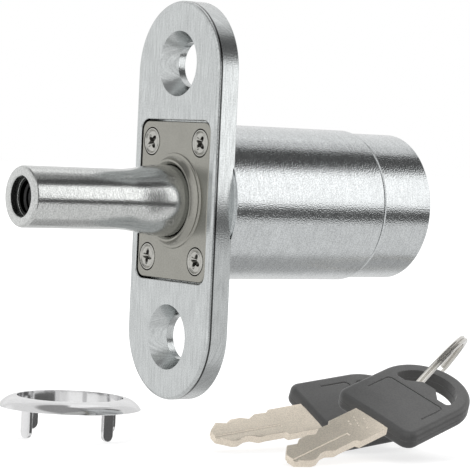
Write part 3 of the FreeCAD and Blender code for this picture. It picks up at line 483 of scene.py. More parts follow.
@dataclass(frozen=True)
class Metal:
    """A bare or plated metal with the lay of its last machining."""

    name: str
    colour: Colour
    roughness: float = 0.3
    lay: Lay = Lay.GRAIN
    grain_size: float = 0.19 * MM
    grain_depth: float = 0.003 * MM
    line_width: float = 0.15 * MM
    line_stretch: float = 9.0
    line_depth: float = 0.003 * MM
    line_share: float = 0.35
    tone_spread: float = 0.16
    cloud_spread: float = 0.03
    roughness_spread: float = 0.06
    edge_radius: float = 0.12 * MM
    # How much the edges are lightened: a painted highlight
    edge_highlight_gain: float = 0.2
    centre: tuple[float, float, float] = ORIGIN
    # Painted shade inside a bore, if any
    bore: BoreShade | None = None
    # A thin band of painted shade, if any
    line: PaintedShadeLine | None = None
    belly: Belly | None = None

    def _lines(self, graph: Graph, place: bpy.types.NodeSocket) -> object:
        """Add the lay's lines.

        Args:
            graph: The material's graph.
            place: Object coordinates, from the piece's centre.

        Returns:
            The lines' socket, or a plain value where the finish has none.
        """
        if self.lay is Lay.GRAIN:
            return NO_LINES
        parts = graph.parts(place)
        if self.lay is Lay.UPRIGHT:
            values = {"Across": graph.maths("ADD", parts[0], parts[1]), "Along": parts[2]}
        else:
            order = (0, 1, 2) if self.lay is Lay.ROUND_X else (2, 0, 1)
            point = {name: parts[index] for name, index in zip(("Axial", "First", "Second"), order)}
            lay = graph.shared(EFFECTS.round_lay, point)
            values = {name: lay[name] for name in ("Across", "Along", "Side")}
        values |= {"Width": self.line_width, "Stretch": self.line_stretch}
        return graph.shared(EFFECTS.lay_lines, values)["Lines"]

    def _normal(
        self, graph: Graph, place: bpy.types.NodeSocket, normal: bpy.types.NodeSocket
    ) -> bpy.types.NodeSocket:
        """Make the normal of a turned piece truly round, or give a plate's side faces their belly.

        Args:
            graph: The material's graph.
            place: Object coordinates, from the piece's centre.
            normal: The normal with softened edges.

        Returns:
            The normal to use.
        """
        values = {"Vector": place, "Normal": normal}
        if self.belly is not None:
            belly = self.belly
            values |= {"Rate": belly.rate, "Middle": belly.middle, "Reach": belly.reach}
            return graph.shared(EFFECTS.camber, values)["Normal"]
        axes = {Lay.ROUND_X: X_AXIS, Lay.ROUND_Z: Z_AXIS}
        if self.lay not in axes:
            return normal
        return graph.shared(EFFECTS.round_normal, values | {"Axis": axes[self.lay]})["Normal"]

    def _tone(
        self, graph: Graph, place: bpy.types.NodeSocket, mixed: object, cloud: object, edge: object
    ) -> bpy.types.NodeSocket:
        """Add the colour: lines and grain, a faint cloud, a painted highlight on the edges, painted shade in
        a bore and a thin band of painted shade.

        Args:
            graph: The material's graph.
            place: Object coordinates, from the piece's centre.
            mixed: Lines and grain, 0 to 1.
            cloud: The broad cloud, 0 to 1.
            edge: The edge mask, where the painted highlight goes.

        Returns:
            The colour's socket.
        """
        low, high = (scaled(self.colour, 1 + sign * self.tone_spread) for sign in (-1, 1))
        clouded = graph.maths("MULTIPLY", cloud, self.cloud_spread * 2)
        tone = graph.blend(clouded, graph.blend(mixed, low, high), rgba(BLACK))
        # Painted highlight: the edges are lightened
        tone = graph.blend(edge, tone, scaled(self.colour, 1 + self.edge_highlight_gain))
        # Painted shade inside a bore
        if self.bore is not None:
            sizes = {"Vector": place, "Radius": self.bore.radius, "Mouth": self.bore.mouth}
            inside = graph.shared(EFFECTS.bore, sizes)["Mask"]
            tone = graph.blend(inside, tone, scaled(self.colour, self.bore.shade))
        # Painted shade: a thin band darkened at one depth along X
        if self.line is not None:
            facing = graph.add("NewGeometry").outputs["Normal"]
            sizes = {"Vector": place, "Normal": facing, "Place": self.line.place, "Half": self.line.half}
            mask = graph.shared(EFFECTS.painted_shade_line, sizes)["Mask"]
            tone = graph.blend(mask, tone, scaled(self.colour, self.line.shade))
        return tone

    def material(self) -> bpy.types.Material:
        """Build the metal's material.

        Returns:
            The new material.
        """
        material, graph, shader = blank_material(self.name)
        place = graph.add("TexCoord").outputs["Object"]
        if any(self.centre):
            away = tuple(-value for value in self.centre)
            place = graph.add("Mapping", {"Vector": place, "Location": away}).outputs[0]
        lines = self._lines(graph, place)
        grain = graph.shared(EFFECTS.grain, {"Vector": place, "Size": self.grain_size})
        edges = graph.shared(EFFECTS.edges, {"Radius": self.edge_radius})
        specks = graph.maths("MULTIPLY", grain["Grain"], 1 - self.line_share)
        mixed = graph.maths("MULTIPLY_ADD", lines, self.line_share, specks)
        half = self.roughness_spread / 2
        rise = graph.maths("MULTIPLY", grain["Grain"], self.grain_depth / MM)
        height = graph.maths("MULTIPLY_ADD", lines, self.line_depth / MM, rise)
        normal = self._normal(graph, place, edges["Normal"])
        bump = graph.add("Bump", {"Height": height, "Distance": MM, "Normal": normal})
        looks = {
            "Base Color": self._tone(graph, place, mixed, grain["Cloud"], edges["Mask"]),
            "Roughness": graph.ranged(mixed, 0.0, 1.0, self.roughness + half, self.roughness - half),
            "Normal": bump.outputs[0],
            "Metallic": 1.0,
        }
        graph.feed(shader, looks)
        return material


@dataclass(frozen=True)
class Moulding:
    """A moulded plastic with a satin skin."""

    name: str
    colour: Colour
    roughness: float = 0.42
    roughness_half: float = 0.05
    cloud_spread: float = 0.08
    speck_share: float = 0.16
    speck_gain: float = 1.6
    grain_size: float = 0.25 * MM
    grain_depth: float = 0.004 * MM
    edge_radius: float = 0.2 * MM
    # How much the edges are lightened: a painted highlight
    edge_highlight_gain: float = 0.35

    def material(self) -> bpy.types.Material:
        """Build the plastic's material.

        Returns:
            The new material.
        """
        material, graph, shader = blank_material(self.name)
        place = graph.add("TexCoord").outputs["Object"]
        grain = graph.shared(EFFECTS.grain, {"Vector": place, "Size": self.grain_size})
        edges = graph.shared(EFFECTS.edges, {"Radius": self.edge_radius})
        low, high = (scaled(self.colour, 1 + sign * self.cloud_spread) for sign in (-1, 1))
        specks = graph.maths("MULTIPLY", grain["Grain"], self.speck_share)
        tone = graph.blend(grain["Cloud"], low, high)
        tone = graph.blend(specks, tone, scaled(self.colour, self.speck_gain))
        rough, smooth = self.roughness + self.roughness_half, self.roughness - self.roughness_half
        relief = {"Height": grain["Grain"], "Distance": self.grain_depth, "Normal": edges["Normal"]}
        looks = {
            # Painted highlight: the edges are lightened
            "Base Color": graph.blend(edges["Mask"], tone, scaled(self.colour, 1 + self.edge_highlight_gain)),
            "Roughness": graph.ranged(grain["Grain"], 0.0, 1.0, rough, smooth),
            "Normal": graph.add("Bump", relief).outputs[0],
        }
        graph.feed(shader, looks)
        return material


def dress(material: bpy.types.Material, *nodes: str) -> None:
    """Give solids a material.

    Args:
        material: The material.
        nodes: The names of the solids' nodes.
    """
    for name in nodes:
        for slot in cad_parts[name].material_slots:
            slot.material = material


@dataclass(frozen=True)
class Belonging:
    """What a new piece rides on, which slot its finish is and which solids it stands for."""

    body: str
    slot: str
    stands_for: tuple[str, ...] = ()


def linked_object(name: str, mesh: bmesh.types.BMesh) -> bpy.types.Object:
    """Make an object of a mesh and link it to the scene.

    Args:
        name: The object's name.
        mesh: Its mesh; it is freed.

    Returns:
        The object.
    """
    data = bpy.data.meshes.new(name)
    mesh.to_mesh(data)
    mesh.free()
    made = bpy.data.objects.new(name, data)
    bpy.context.scene.collection.objects.link(made)
    return made


def finished_piece(
    name: str, mesh: bmesh.types.BMesh, material: bpy.types.Material, belonging: Belonging
) -> bpy.types.Object:
    """Turn a mesh that is already in its place into a piece of the lock.

    Args:
        name: The piece's name.
        mesh: Its mesh, in the solids' frame; it is freed.
        material: Its material.
        belonging: Its body and the solids it replaces; its slot is not used.

    Returns:
        The piece.
    """
    for edge in mesh.edges:
        if len(edge.link_faces) == 2:
            edge.smooth = edge.calc_face_angle(0.0) < SHARP_ANGLE
    for face in mesh.faces:
        face.smooth = True
    piece = linked_object(name, mesh)
    piece.data.materials.append(material)
    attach(piece, belonging.body)
    if belonging.stands_for:
        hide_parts(*belonging.stands_for)
    return piece


def line_of(mesh: bmesh.types.BMesh, points: Sequence[Sequence[float]], closed: bool = False) -> list:
    """Add a line of edges.

    Args:
        mesh: The mesh.
        points: The corners.
        closed: Whether the last corner is joined to the first.

    Returns:
        The new vertices and edges.
    """
    verts = [mesh.verts.new(point) for point in points]
    pairs = list(zip(verts, verts[1:] + verts[:1] if closed else verts[1:]))
    return verts + [mesh.edges.new(pair) for pair in pairs]


def picked(geom: Sequence[object], kind: type) -> list:
    """Pick the vertices or the edges out of an operator's result."""
    return [item for item in geom if isinstance(item, kind)]


def loose_ends(mesh: bmesh.types.BMesh, test: Callable[[bmesh.types.BMEdge], bool]) -> list:
    """Find the open edges that pass a test."""
    return [edge for edge in mesh.edges if edge.is_boundary and test(edge)]


def tidy_shell(mesh: bmesh.types.BMesh) -> None:
    """Merge a closed shell's doubles and turn its faces outwards."""
    bmesh.ops.remove_doubles(mesh, verts=mesh.verts, dist=WELD)
    bmesh.ops.recalc_face_normals(mesh, faces=mesh.faces)


def turned_shell(outline: Sequence[tuple[float, float]], segments: int) -> bmesh.types.BMesh:
    """Turn an outline once round the X axis.

    Args:
        outline: Its corners, as places along X and radii.
        segments: How many steps go round.

    Returns:
        The turned mesh, open where the outline doesn't reach the axis.
    """
    mesh = bmesh.new()
    made = line_of(mesh, [(along, 0.0, radius) for along, radius in outline])
    bmesh.ops.spin(
        mesh, geom=made, cent=ORIGIN, axis=X_AXIS, angle=math.tau, steps=segments, use_merge=True
    )
    return mesh


def carved(blank: bmesh.types.BMesh, punch: bmesh.types.BMesh) -> bmesh.types.BMesh:
    """Cut one closed mesh out of another.

    Args:
        blank: The mesh that is cut; it is freed.
        punch: The mesh that is taken away; it is freed.

    Returns:
        The cut mesh.
    """
    work, tool = linked_object("blank", blank), linked_object("punch", punch)
    cut = work.modifiers.new("cut", "BOOLEAN")
    cut.operation = "DIFFERENCE"
    cut.solver = "EXACT"
    cut.object = tool
    done = bmesh.new()
    done.from_object(work, bpy.context.evaluated_depsgraph_get())
    for spent in (work, tool):
        spent_mesh = spent.data
        bpy.data.objects.remove(spent)
        bpy.data.meshes.remove(spent_mesh)
    bmesh.ops.remove_doubles(done, verts=done.verts, dist=WELD)
    return done


@dataclass(frozen=True)
class GuideScrews:
    """The four screws of the guide plate: a turned rim, a low dome and a lobed cross recess."""

    front: float = -3.2 * MM
    half_y: float = 5.95 * MM
    half_z: float = 8.2 * MM
    turns: tuple[float, ...] = (38.0, 52.0, 25.0, 8.0)
    segments: int = 96
    # Radius and depth behind the head's front in millimetres, from the recess outwards and back
    profile: tuple[tuple[float, float], ...] = (
        (1.34, 0.02), (1.42, 0.05), (1.50, 0.15), (1.56, 0.18), (1.62, 0.14), (1.67, 0.02), (1.71, -0.03),
        (1.79, -0.03), (1.84, 0.0), (1.92, 0.22), (1.96, 0.34), (1.96, 0.90), (1.00, 0.90), (1.00, 2.62),
        (0.92, 2.70),
    )
    # The recess's radius between its four lobes and at them, in millimetres, and how pointed they are
    recess_waist: float = 0.52
    recess_reach: float = 1.18
    lobe_power: float = 1.8
    # The rings down the recess: their share of its radius, their depth and what their radius adds
    recess_rings: tuple[tuple[float, float, float], ...] = (
        (1.0, -0.03, 0.14), (1.0, 0.0, 0.0), (0.94, 0.09, 0.0), (0.6, 0.62, 0.0),
    )

    def _recess(self, mesh: bmesh.types.BMesh) -> None:
        """Sink the recess into the dome.

        Args:
            mesh: The turned screw, open in the middle of its head.
        """
        inner = self.profile[0][0] * MM
        rim = loose_ends(mesh, lambda edge: edge.verts[0].co.x < self.front + MM)
        for share, depth, grow in self.recess_rings:
            made = bmesh.ops.extrude_edge_only(mesh, edges=rim)["geom"]
            rim = picked(made, bmesh.types.BMEdge)
            for vert in picked(made, bmesh.types.BMVert):
                angle = math.atan2(vert.co.y, vert.co.z)
                lobe = abs(math.cos(2 * angle)) ** self.lobe_power
                radius = (self.recess_waist + (self.recess_reach - self.recess_waist) * lobe) * share + grow
                held = min(radius * MM, inner)
                vert.co = (self.front + depth * MM, math.sin(angle) * held, math.cos(angle) * held)
        floor = bmesh.ops.edgeloop_fill(mesh, edges=rim)["faces"]
        bmesh.ops.poke(mesh, faces=floor, offset=0.0)

    def _screw(self, mesh: bmesh.types.BMesh, place: tuple[float, float], turn: float) -> None:
        """Add one screw.

        Args:
            mesh: The mesh of all four screws.
            place: The screw's axis, along Y and Z.
            turn: How far its recess is turned, in degrees.
        """
        outline = [(self.front + depth * MM, radius * MM) for radius, depth in self.profile]
        one = turned_shell(outline, self.segments)
        tail = loose_ends(one, lambda edge: edge.verts[0].co.x > self.front + MM)
        bmesh.ops.edgeloop_fill(one, edges=tail)
        self._recess(one)
        tidy_shell(one)
        about_axis = Matrix.Rotation(math.radians(turn), 3, "X")
        bmesh.ops.rotate(one, verts=one.verts, cent=ORIGIN, matrix=about_axis)
        bmesh.ops.translate(one, verts=one.verts, vec=(0.0, *place))
        data = bpy.data.meshes.new("one_screw")
        one.to_mesh(data)
        one.free()
        mesh.from_mesh(data)
        bpy.data.meshes.remove(data)

    def build(self, material: bpy.types.Material) -> bpy.types.Object:
        """Build the four screws as one piece.

        Args:
            material: Their material.

        Returns:
            The piece.
        """
        mesh = bmesh.new()
        places = [(side * self.half_y, up * self.half_z) for up in (1, -1) for side in (-1, 1)]
        for place, turn in zip(places, self.turns):
            self._screw(mesh, place, turn)
        belonging = Belonging("lock_body", "screw_steel", ("guide_plate_screws",))
        return finished_piece("guide_screws", mesh, material, belonging)


@dataclass(frozen=True)
class LockBody:
    """Flange plate, guide plate, housing and front ring."""

    plate: Metal = Metal(
        "satin_plate", (0.56, 0.58, 0.58), 0.22, Lay.UPRIGHT, grain_depth=0.005 * MM, tone_spread=0.2,
        # The dark band along the plate's edge is a painted reflection
        line_depth=0.0015 * MM, line_share=0.6, line_stretch=22.0, line=PaintedShadeLine(-2.78 * MM, 0.15 * MM),
        belly=Belly(34.0, 0.2 * MM, 9.0 * MM),
    )
    guide: Metal = Metal("warm_satin", (0.335, 0.33, 0.298), 0.24, tone_spread=0.08, grain_depth=0.0008 * MM)
    turned: Metal = Metal(
        "turned_satin", (0.61, 0.63, 0.635), 0.12, Lay.ROUND_X, grain_size=0.18 * MM, grain_depth=0.0085 * MM,
        # The dark band at the housing's seam is painted shade in its groove
        line_depth=0.0012 * MM, tone_spread=0.22, line=PaintedShadeLine(26.48 * MM, 0.18 * MM),
    )
    screw: Metal = Metal(
        "bright_screws", (0.48, 0.475, 0.445), 0.18, tone_spread=0.1, edge_radius=0.03 * MM,
        # The dark band in the screws' recesses and round their rims is painted shade
        line=PaintedShadeLine(-2.84 * MM, 0.28 * MM, 0.3),
    )
    inner: Metal = Metal("ground_steel", (0.5, 0.5, 0.5), 0.35)
    screws: GuideScrews = GuideScrews()

    def build(self) -> list[str]:
        """Dress the fixed pieces and build the guide plate's screws.

        Returns:
            The names of the pieces done.
        """
        dress(self.plate.material(), "flange_plate")
        dress(self.guide.material(), "guide_plate")
        dress(self.turned.material(), "housing_sleeve", "front_ring")
        dress(self.inner.material(), "travel_pin", "return_spring")
        screws = self.screws.build(self.screw.material())
        return ["flange_plate", "guide_plate", "housing_sleeve", "front_ring", screws.name]


@dataclass(frozen=True)
class BoltThread:
    """The thread cut into the bolt's bore: a ridge wound along it."""

    start: float = -26.4 * MM
    bore_radius: float = 2.3 * MM
    # How deep its foot is sunk into the bore's wall, and how far it stands out of it
    sunk: float = 0.02 * MM
    height: float = 0.24 * MM
    pitch: float = 0.7 * MM
    # Half the ridge's foot as a share of the pitch, and its crest as a share of its foot
    foot_share: float = 0.45
    crest_share: float = 0.1
    turns: int = 15
    steps: int = 40

    def build(self, material: bpy.types.Material) -> bpy.types.Object:
        """Wind the ridge.

        Args:
            material: Its material.

        Returns:
            The piece.
        """
        mesh = bmesh.new()
        foot = self.bore_radius + self.sunk
        crest = self.bore_radius - self.height
        half = self.pitch * self.foot_share
        top = half * self.crest_share
        points = [(self.start - half, 0, foot), (self.start - top, 0, crest)]
        points += [(self.start + top, 0, crest), (self.start + half, 0, foot)]
        made = line_of(mesh, points, closed=True)
        first = picked(made, bmesh.types.BMEdge)
        wound = bmesh.ops.spin(
            mesh, geom=made, cent=ORIGIN, axis=X_AXIS, dvec=(self.pitch / self.steps, 0, 0),
            angle=math.tau * self.turns, steps=self.turns * self.steps, use_merge=False,
        )
        for ends in (first, picked(wound["geom_last"], bmesh.types.BMEdge)):
            bmesh.ops.edgeloop_fill(mesh, edges=ends)
        tidy_shell(mesh)
        return finished_piece("bolt_bore_thread", mesh, material, Belonging("push_cylinder", "bolt_steel"))


@dataclass(frozen=True)
class BoltLathe:
    """The bolt, turned in one: bored tip, straight shank, a long flare, and the guided part behind it."""

    tip: float = -28.1 * MM
    radius: float = 4.2 * MM
    shank_radius: float = 5.0 * MM
    tip_round: float = 0.5 * MM
    mouth_radius: float = 2.75 * MM
    mouth_depth: float = 1.3 * MM
    mouth_break: float = 0.16 * MM
    bore_radius: float = 2.3 * MM
    bore_depth: float = 13.0 * MM
    flare_from: float = -12.4 * MM
    flare_to: float = -5.4 * MM
    shank_end: float = 6.8 * MM
    tail_radius: float = 3.5 * MM
    tail_end: float = 9.2 * MM
    pin_place: float = 8.0 * MM
    pin_hole_radius: float = 0.63 * MM
    pin_hole_segments: int = 48
    drill_length: float = 15.0 * MM
    tip_steps: int = 6
    flare_steps: int = 24
    segments: int = 144

    def _outline(self) -> list[tuple[float, float]]:
        """Give the outline as places along X and radii, from the bore's floor round to the tail.

        Returns:
            The outline's corners.
        """
        tip, mouth, inside = self.tip, self.mouth_radius, self.tip + self.bore_depth
        outline = [(inside, 0.0), (inside, self.bore_radius), (tip + self.mouth_depth, self.bore_radius)]
        outline += [(tip + self.mouth_depth, mouth), (tip + self.mouth_break, mouth)]
        outline += [(tip, mouth + self.mouth_break)]
        for step in range(self.tip_steps + 1):
            angle = math.radians(90 * step / self.tip_steps)
            across = self.tip_round * (1 - math.sin(angle))
            outline.append((tip + self.tip_round * (1 - math.cos(angle)), self.radius - across))
        for step in range(self.flare_steps + 1):
            share = step / self.flare_steps
            eased = share * share * (3 - 2 * share)
            along = self.flare_from + (self.flare_to - self.flare_from) * share
            outline.append((along, self.radius + (self.shank_radius - self.radius) * eased))
        outline += [(self.shank_end, self.shank_radius), (self.shank_end, self.tail_radius)]
        return outline + [(self.tail_end, self.tail_radius), (self.tail_end, 0.0)]

    def build(self, material: bpy.types.Material) -> bpy.types.Object:
        """Turn the bolt and drill it for its cross pin.

        Args:
            material: Its material.

        Returns:
            The piece.
        """
        mesh = turned_shell(self._outline(), self.segments)
        tidy_shell(mesh)
        across = Matrix.Translation((self.pin_place, 0, 0)) @ Matrix.Rotation(math.pi / 2, 4, "X")
        drill = bmesh.new()
        bmesh.ops.create_cone(
            drill, cap_ends=True, segments=self.pin_hole_segments, radius1=self.pin_hole_radius,
            radius2=self.pin_hole_radius, depth=self.drill_length, matrix=across,
        )
        belonging = Belonging("push_cylinder", "bolt_steel", ("bolt_tube",))
        return finished_piece("bolt_turned", carved(mesh, drill), material, belonging)


@dataclass(frozen=True)
class PushCylinder:
    """Bolt, barrel, face cap and the keyed core."""

    bolt: Metal = Metal(
        "turned_bolt", (0.60, 0.61, 0.60), 0.15, Lay.ROUND_X, grain_size=0.17 * MM, grain_depth=0.0045 * MM,
        # The bolt's bore is darkened inside with painted shade
        line_depth=0.0012 * MM, tone_spread=0.2, bore=BoreShade(2.72 * MM, -27.9 * MM, 0.03),
    )
    lathe: BoltLathe = BoltLathe()
    # The thread is coloured nearly black as painted shade deep in the bolt's bore
    thread: Metal = Metal("thread_painted_dark", (0.045, 0.045, 0.045), 0.4)
    barrel: Metal = Metal("barrel_satin", (0.62, 0.62, 0.62), 0.28, Lay.ROUND_X)
    cap: Metal = Metal(
        "polished_cap", (0.75, 0.75, 0.75), 0.12, Lay.ROUND_X, tone_spread=0.06, line_share=0.8
    )
    brass: Metal = Metal("core_brass", (0.72, 0.56, 0.3), 0.25, Lay.ROUND_X)
    inner: Metal = Metal("cam_steel", (0.48, 0.48, 0.49), 0.35)
    bore_thread: BoltThread = BoltThread()

    def build(self) -> list[str]:
        """Turn the bolt, dress the other moving pieces and wind the bolt's thread.

        Returns:
            The names of the pieces done.
        """
        bolt = self.lathe.build(self.bolt.material())
        dress(self.barrel.material(), "push_barrel")
        dress(self.cap.material(), "face_cap")
        dress(self.brass.material(), "cylinder_core", "tumblers_up", "tumblers_down", "barrel_end_plug")
        dress(self.inner.material(), "core_cam", "cam_screw", "locking_slide", "bolt_cross_pin")
        thread = self.bore_thread.build(self.thread.material())
        return [bolt.name, "push_barrel", "face_cap", "cylinder_core", thread.name]


@dataclass(frozen=True)
class SplitRing:
    """The key ring's flat wire, wound twice, with the step that takes it from one turn to the other."""

    centre: tuple[float, float, float] = (43.3905 * MM, -1.5317 * MM, -26.7388 * MM)
    # The ring's own frame as a quaternion, its axis along the last of its directions
    turn: tuple[float, float, float, float] = (0.42551, 0.52536, 0.72867, -0.10945)
    radius: float = 9.0 * MM
    half_width: float = 0.44 * MM
    layer: float = 0.55 * MM
    half_height: float = 0.26 * MM
    corner: float = 0.16 * MM
    step_from: float = 62.0
    step_over: float = 22.0
    # The step's gentle start and end: how much of its length and of its climb each takes
    eased_length: float = 0.25
    eased_climb: float = 1 / 6
    steep_climb: float = 2 / 3
    steps_per_degree: float = 0.4
    least_steps: int = 3

    def _wound(self, mesh: bmesh.types.BMesh, geom: list, degrees: float, rise: float) -> list:
        """Wind the wire on.

        Args:
            mesh: The mesh.
            geom: The wire's present end.
            degrees: How far it goes round.
            rise: How far it climbs on the way.

        Returns:
            The wire's new end.
        """
        steps = max(self.least_steps, round(degrees * self.steps_per_degree))
        return bmesh.ops.spin(
            mesh, geom=geom, cent=ORIGIN, axis=Z_AXIS, dvec=(0, 0, rise / steps),
            angle=math.radians(degrees), steps=steps, use_merge=False,
        )["geom_last"]

    def build(self, material: bpy.types.Material) -> bpy.types.Object:
        """Wind the ring.

        Args:
            material: Its material.

        Returns:
            The piece.
        """
        mesh = bmesh.new()
        wide, high, cut = self.half_width, self.half_height, self.corner
        low = -self.layer / 2
        corners = [(wide, high - cut), (wide - cut, high), (cut - wide, high), (-wide, high - cut)]
        corners += [(-wide, cut - high), (cut - wide, -high), (wide - cut, -high), (wide, cut - high)]
        end = line_of(mesh, [(self.radius + x, 0, low + z) for x, z in corners], closed=True)
        first = picked(end, bmesh.types.BMEdge)
        whole = (360.0 - self.step_over, 0.0)
        eased = (self.step_over * self.eased_length, self.eased_climb)
        steep = (self.step_over - 2 * eased[0], self.steep_climb)
        for degrees, climb in (whole, eased, steep, eased, whole):
            end = self._wound(mesh, end, degrees, self.layer * climb)
        for ends in (first, picked(end, bmesh.types.BMEdge)):
            bmesh.ops.edgeloop_fill(mesh, edges=ends)
        tidy_shell(mesh)
        facing = Matrix.Rotation(math.radians(self.step_from + self.step_over), 3, "Z")
        placed = Quaternion(self.turn).to_matrix() @ facing
        bmesh.ops.rotate(mesh, verts=mesh.verts, cent=ORIGIN, matrix=placed)
        bmesh.ops.translate(mesh, verts=mesh.verts, vec=self.centre)
        belonging = Belonging("key_ring", "ring_nickel", ("split_ring",))
        return finished_piece("key_split_ring", mesh, material, belonging)


@dataclass(frozen=True)
class KeyPlace:
    """Where a key lies: its base in millimetres, and its yaw, pitch and roll in degrees."""

    base: tuple[float, float, float]
    angles: tuple[float, float, float]

    def matrix(self) -> Matrix:
        """Work out the step from the key's own frame to the solids' frame.

        Returns:
            Its matrix.
        """
        yaw, pitch, roll = (math.radians(angle) for angle in self.angles)
        turn = Euler((roll, pitch, yaw), "XYZ").to_matrix().to_4x4()
        return Matrix.Translation([value * MM for value in self.base]) @ turn


@dataclass(frozen=True)
class KeyPiece:
    """One solid of a key, with the key's body and its place."""

    node: str
    body: str
    place: KeyPlace

    def _copy(self) -> bmesh.types.BMesh:
        """Copy the solid's mesh with its loose triangles joined.

        Returns:
            The copy.
        """
        mesh = bmesh.new()
        mesh.from_mesh(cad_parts[self.node].data)
        bmesh.ops.remove_doubles(mesh, verts=mesh.verts, dist=WELD)
        return mesh

    def _finished(
        self, ending: str, mesh: bmesh.types.BMesh, material: bpy.types.Material, slot: str
    ) -> bpy.types.Object:
        """Make the piece: its flat faces stay flat, and the metal round it doesn't mirror it.

        Args:
            ending: What its name adds to the solid's.
            mesh: Its mesh; it is freed.
            material: Its material.
            slot: The slot that its finish is.

        Returns:
            The piece.
        """
        belonging = Belonging(self.body, slot, (self.node,))
        piece = finished_piece(self.node + ending, mesh, material, belonging)
        weighted = piece.modifiers.new("even_normals", "WEIGHTED_NORMAL")
        weighted.weight = 100
        weighted.keep_sharp = True
        piece.visible_glossy = False
        return piece


@dataclass(frozen=True)
class KeyHead(KeyPiece):
    """A moulded head with the fine parting groove that its mould leaves round the edge."""

    groove_half: float = 0.09 * MM
    groove_depth: float = 0.07 * MM

    def build(self, material: bpy.types.Material) -> bpy.types.Object:
        """Copy the solid's head and press the groove into its edge.

        Args:
            material: Its material.

        Returns:
            The piece.
        """
        mesh = self._copy()
        placed = self.place.matrix()
        bmesh.ops.transform(mesh, verts=mesh.verts, matrix=placed.inverted())
        for height in (-self.groove_half, 0.0, self.groove_half):
            geom = mesh.verts[:] + mesh.edges[:] + mesh.faces[:]
            bmesh.ops.bisect_plane(mesh, geom=geom, dist=WELD, plane_co=(0, 0, height), plane_no=Z_AXIS)
        mesh.normal_update()
        for vert in mesh.verts:
            if abs(vert.co.z) < WELD and abs(vert.normal.z) < EDGEWISE:
                vert.co -= vert.normal * self.groove_depth
        bmesh.ops.transform(mesh, verts=mesh.verts, matrix=placed)
        return self._finished("_moulded", mesh, material, "head_plastic")


@dataclass(frozen=True)
class KeyBlade(KeyPiece):
    """A blade with broken edges and small punched dots where a key carries its code."""

    edge_break: float = 0.07 * MM
    # Faces whose slopes differ by less than this are joined
    flat_degrees: float = 0.5
    # Height of the marked face over the blade's middle
    face: float = 0.6 * MM
    dot_radius: float = 0.16 * MM
    dot_depth: float = 0.12 * MM
    dot_segments: int = 12
    # The punch's radius at its point and at its top, as shares of the dot's
    dot_taper: tuple[float, float] = (0.45, 1.55)
    # Dots in the key's own frame, in millimetres from the head's front and from the blade's middle
    dots: tuple[tuple[float, float], ...] = (
        (2.1, -1.6), (2.45, -0.95), (2.8, -0.3), (3.1, 0.3), (1.1, -0.5), (1.55, 0.1), (2.0, 0.75),
        (2.5, 1.3), (3.55, -1.35), (3.9, -0.7),
    )

    def _punch(self) -> bmesh.types.BMesh:
        """Build the punch that cuts the dots, as one mesh of small cones.

        Returns:
            The punch.
        """
        mesh = bmesh.new()
        point, top = (self.dot_radius * share for share in self.dot_taper)
        for x, y in self.dots:
            bmesh.ops.create_cone(
                mesh, cap_ends=True, segments=self.dot_segments, radius1=point, radius2=top,
                depth=self.dot_depth * 2, matrix=Matrix.Translation((x * MM, y * MM, self.face)),
            )
        bmesh.ops.transform(mesh, verts=mesh.verts, matrix=self.place.matrix())
        return mesh

    def build(self, material: bpy.types.Material) -> bpy.types.Object:
        """Copy the solid's blade, break its edges and punch the dots.

        Args:
            material: Its material.

        Returns:
            The piece.
        """
        mesh = self._copy()
        flat = math.radians(self.flat_degrees)
        bmesh.ops.dissolve_limit(mesh, angle_limit=flat, verts=mesh.verts, edges=mesh.edges)
        sharp = [edge for edge in mesh.edges if edge.is_manifold and edge.calc_face_angle(0.0) > SHARP_ANGLE]
        bmesh.ops.bevel(
            mesh, geom=sharp, offset=self.edge_break, segments=2, profile=0.5, affect="EDGES", material=-1,
            clamp_overlap=True,
        )
        bmesh.ops.triangulate(mesh, faces=mesh.faces)
        return self._finished("_marked", carved(mesh, self._punch()), material, "key_nickel")


@dataclass(frozen=True)
class LoosePieces:
    """Receiving ring, split ring and the two keys."""

    chrome: Metal = Metal(
        "polished_chrome", (0.78, 0.78, 0.785), 0.1, Lay.ROUND_Z, grain_depth=0.0002 * MM,
        line_depth=0.0002 * MM, tone_spread=0.04, roughness_spread=0.02,
        centre=(-4.0 * MM, 23.6 * MM, -30.2 * MM),
    )
    ring: Metal = Metal("plated_ring", (0.7, 0.68, 0.64), 0.18, tone_spread=0.08, edge_radius=0.05 * MM)
    blade: Metal = Metal("key_nickel", (0.86, 0.77, 0.65), 0.34, tone_spread=0.14, edge_radius=0.05 * MM)
    # The heads' edges get a strong painted highlight
    head: Moulding = Moulding("black_plastic", (0.09, 0.09, 0.089), edge_highlight_gain=0.9)
    split_ring: SplitRing = SplitRing()
    near_place: KeyPlace = KeyPlace((24.7, -12.0, -30.5497), (-170.1, 15.3, -22.8))
    far_place: KeyPlace = KeyPlace((24.0, 1.15, -31.7672), (-181.7, 7.0, -29.4))

    def build(self) -> list[str]:
        """Dress the receiving ring, wind the split ring, and make the keys' blades and heads.

        Returns:
            The names of the pieces done.
        """
        dress(self.chrome.material(), "receiving_ring")
        made = [self.split_ring.build(self.ring.material())]
        steel = self.blade.material()
        plastic = self.head.material()
        for key, place in (("near_key", self.near_place), ("far_key", self.far_place)):
            made.append(KeyBlade(key + "_blade", key, place).build(steel))
            made.append(KeyHead(key + "_head", key, place).build(plastic))
        return ["receiving_ring"] + [piece.name for piece in made]


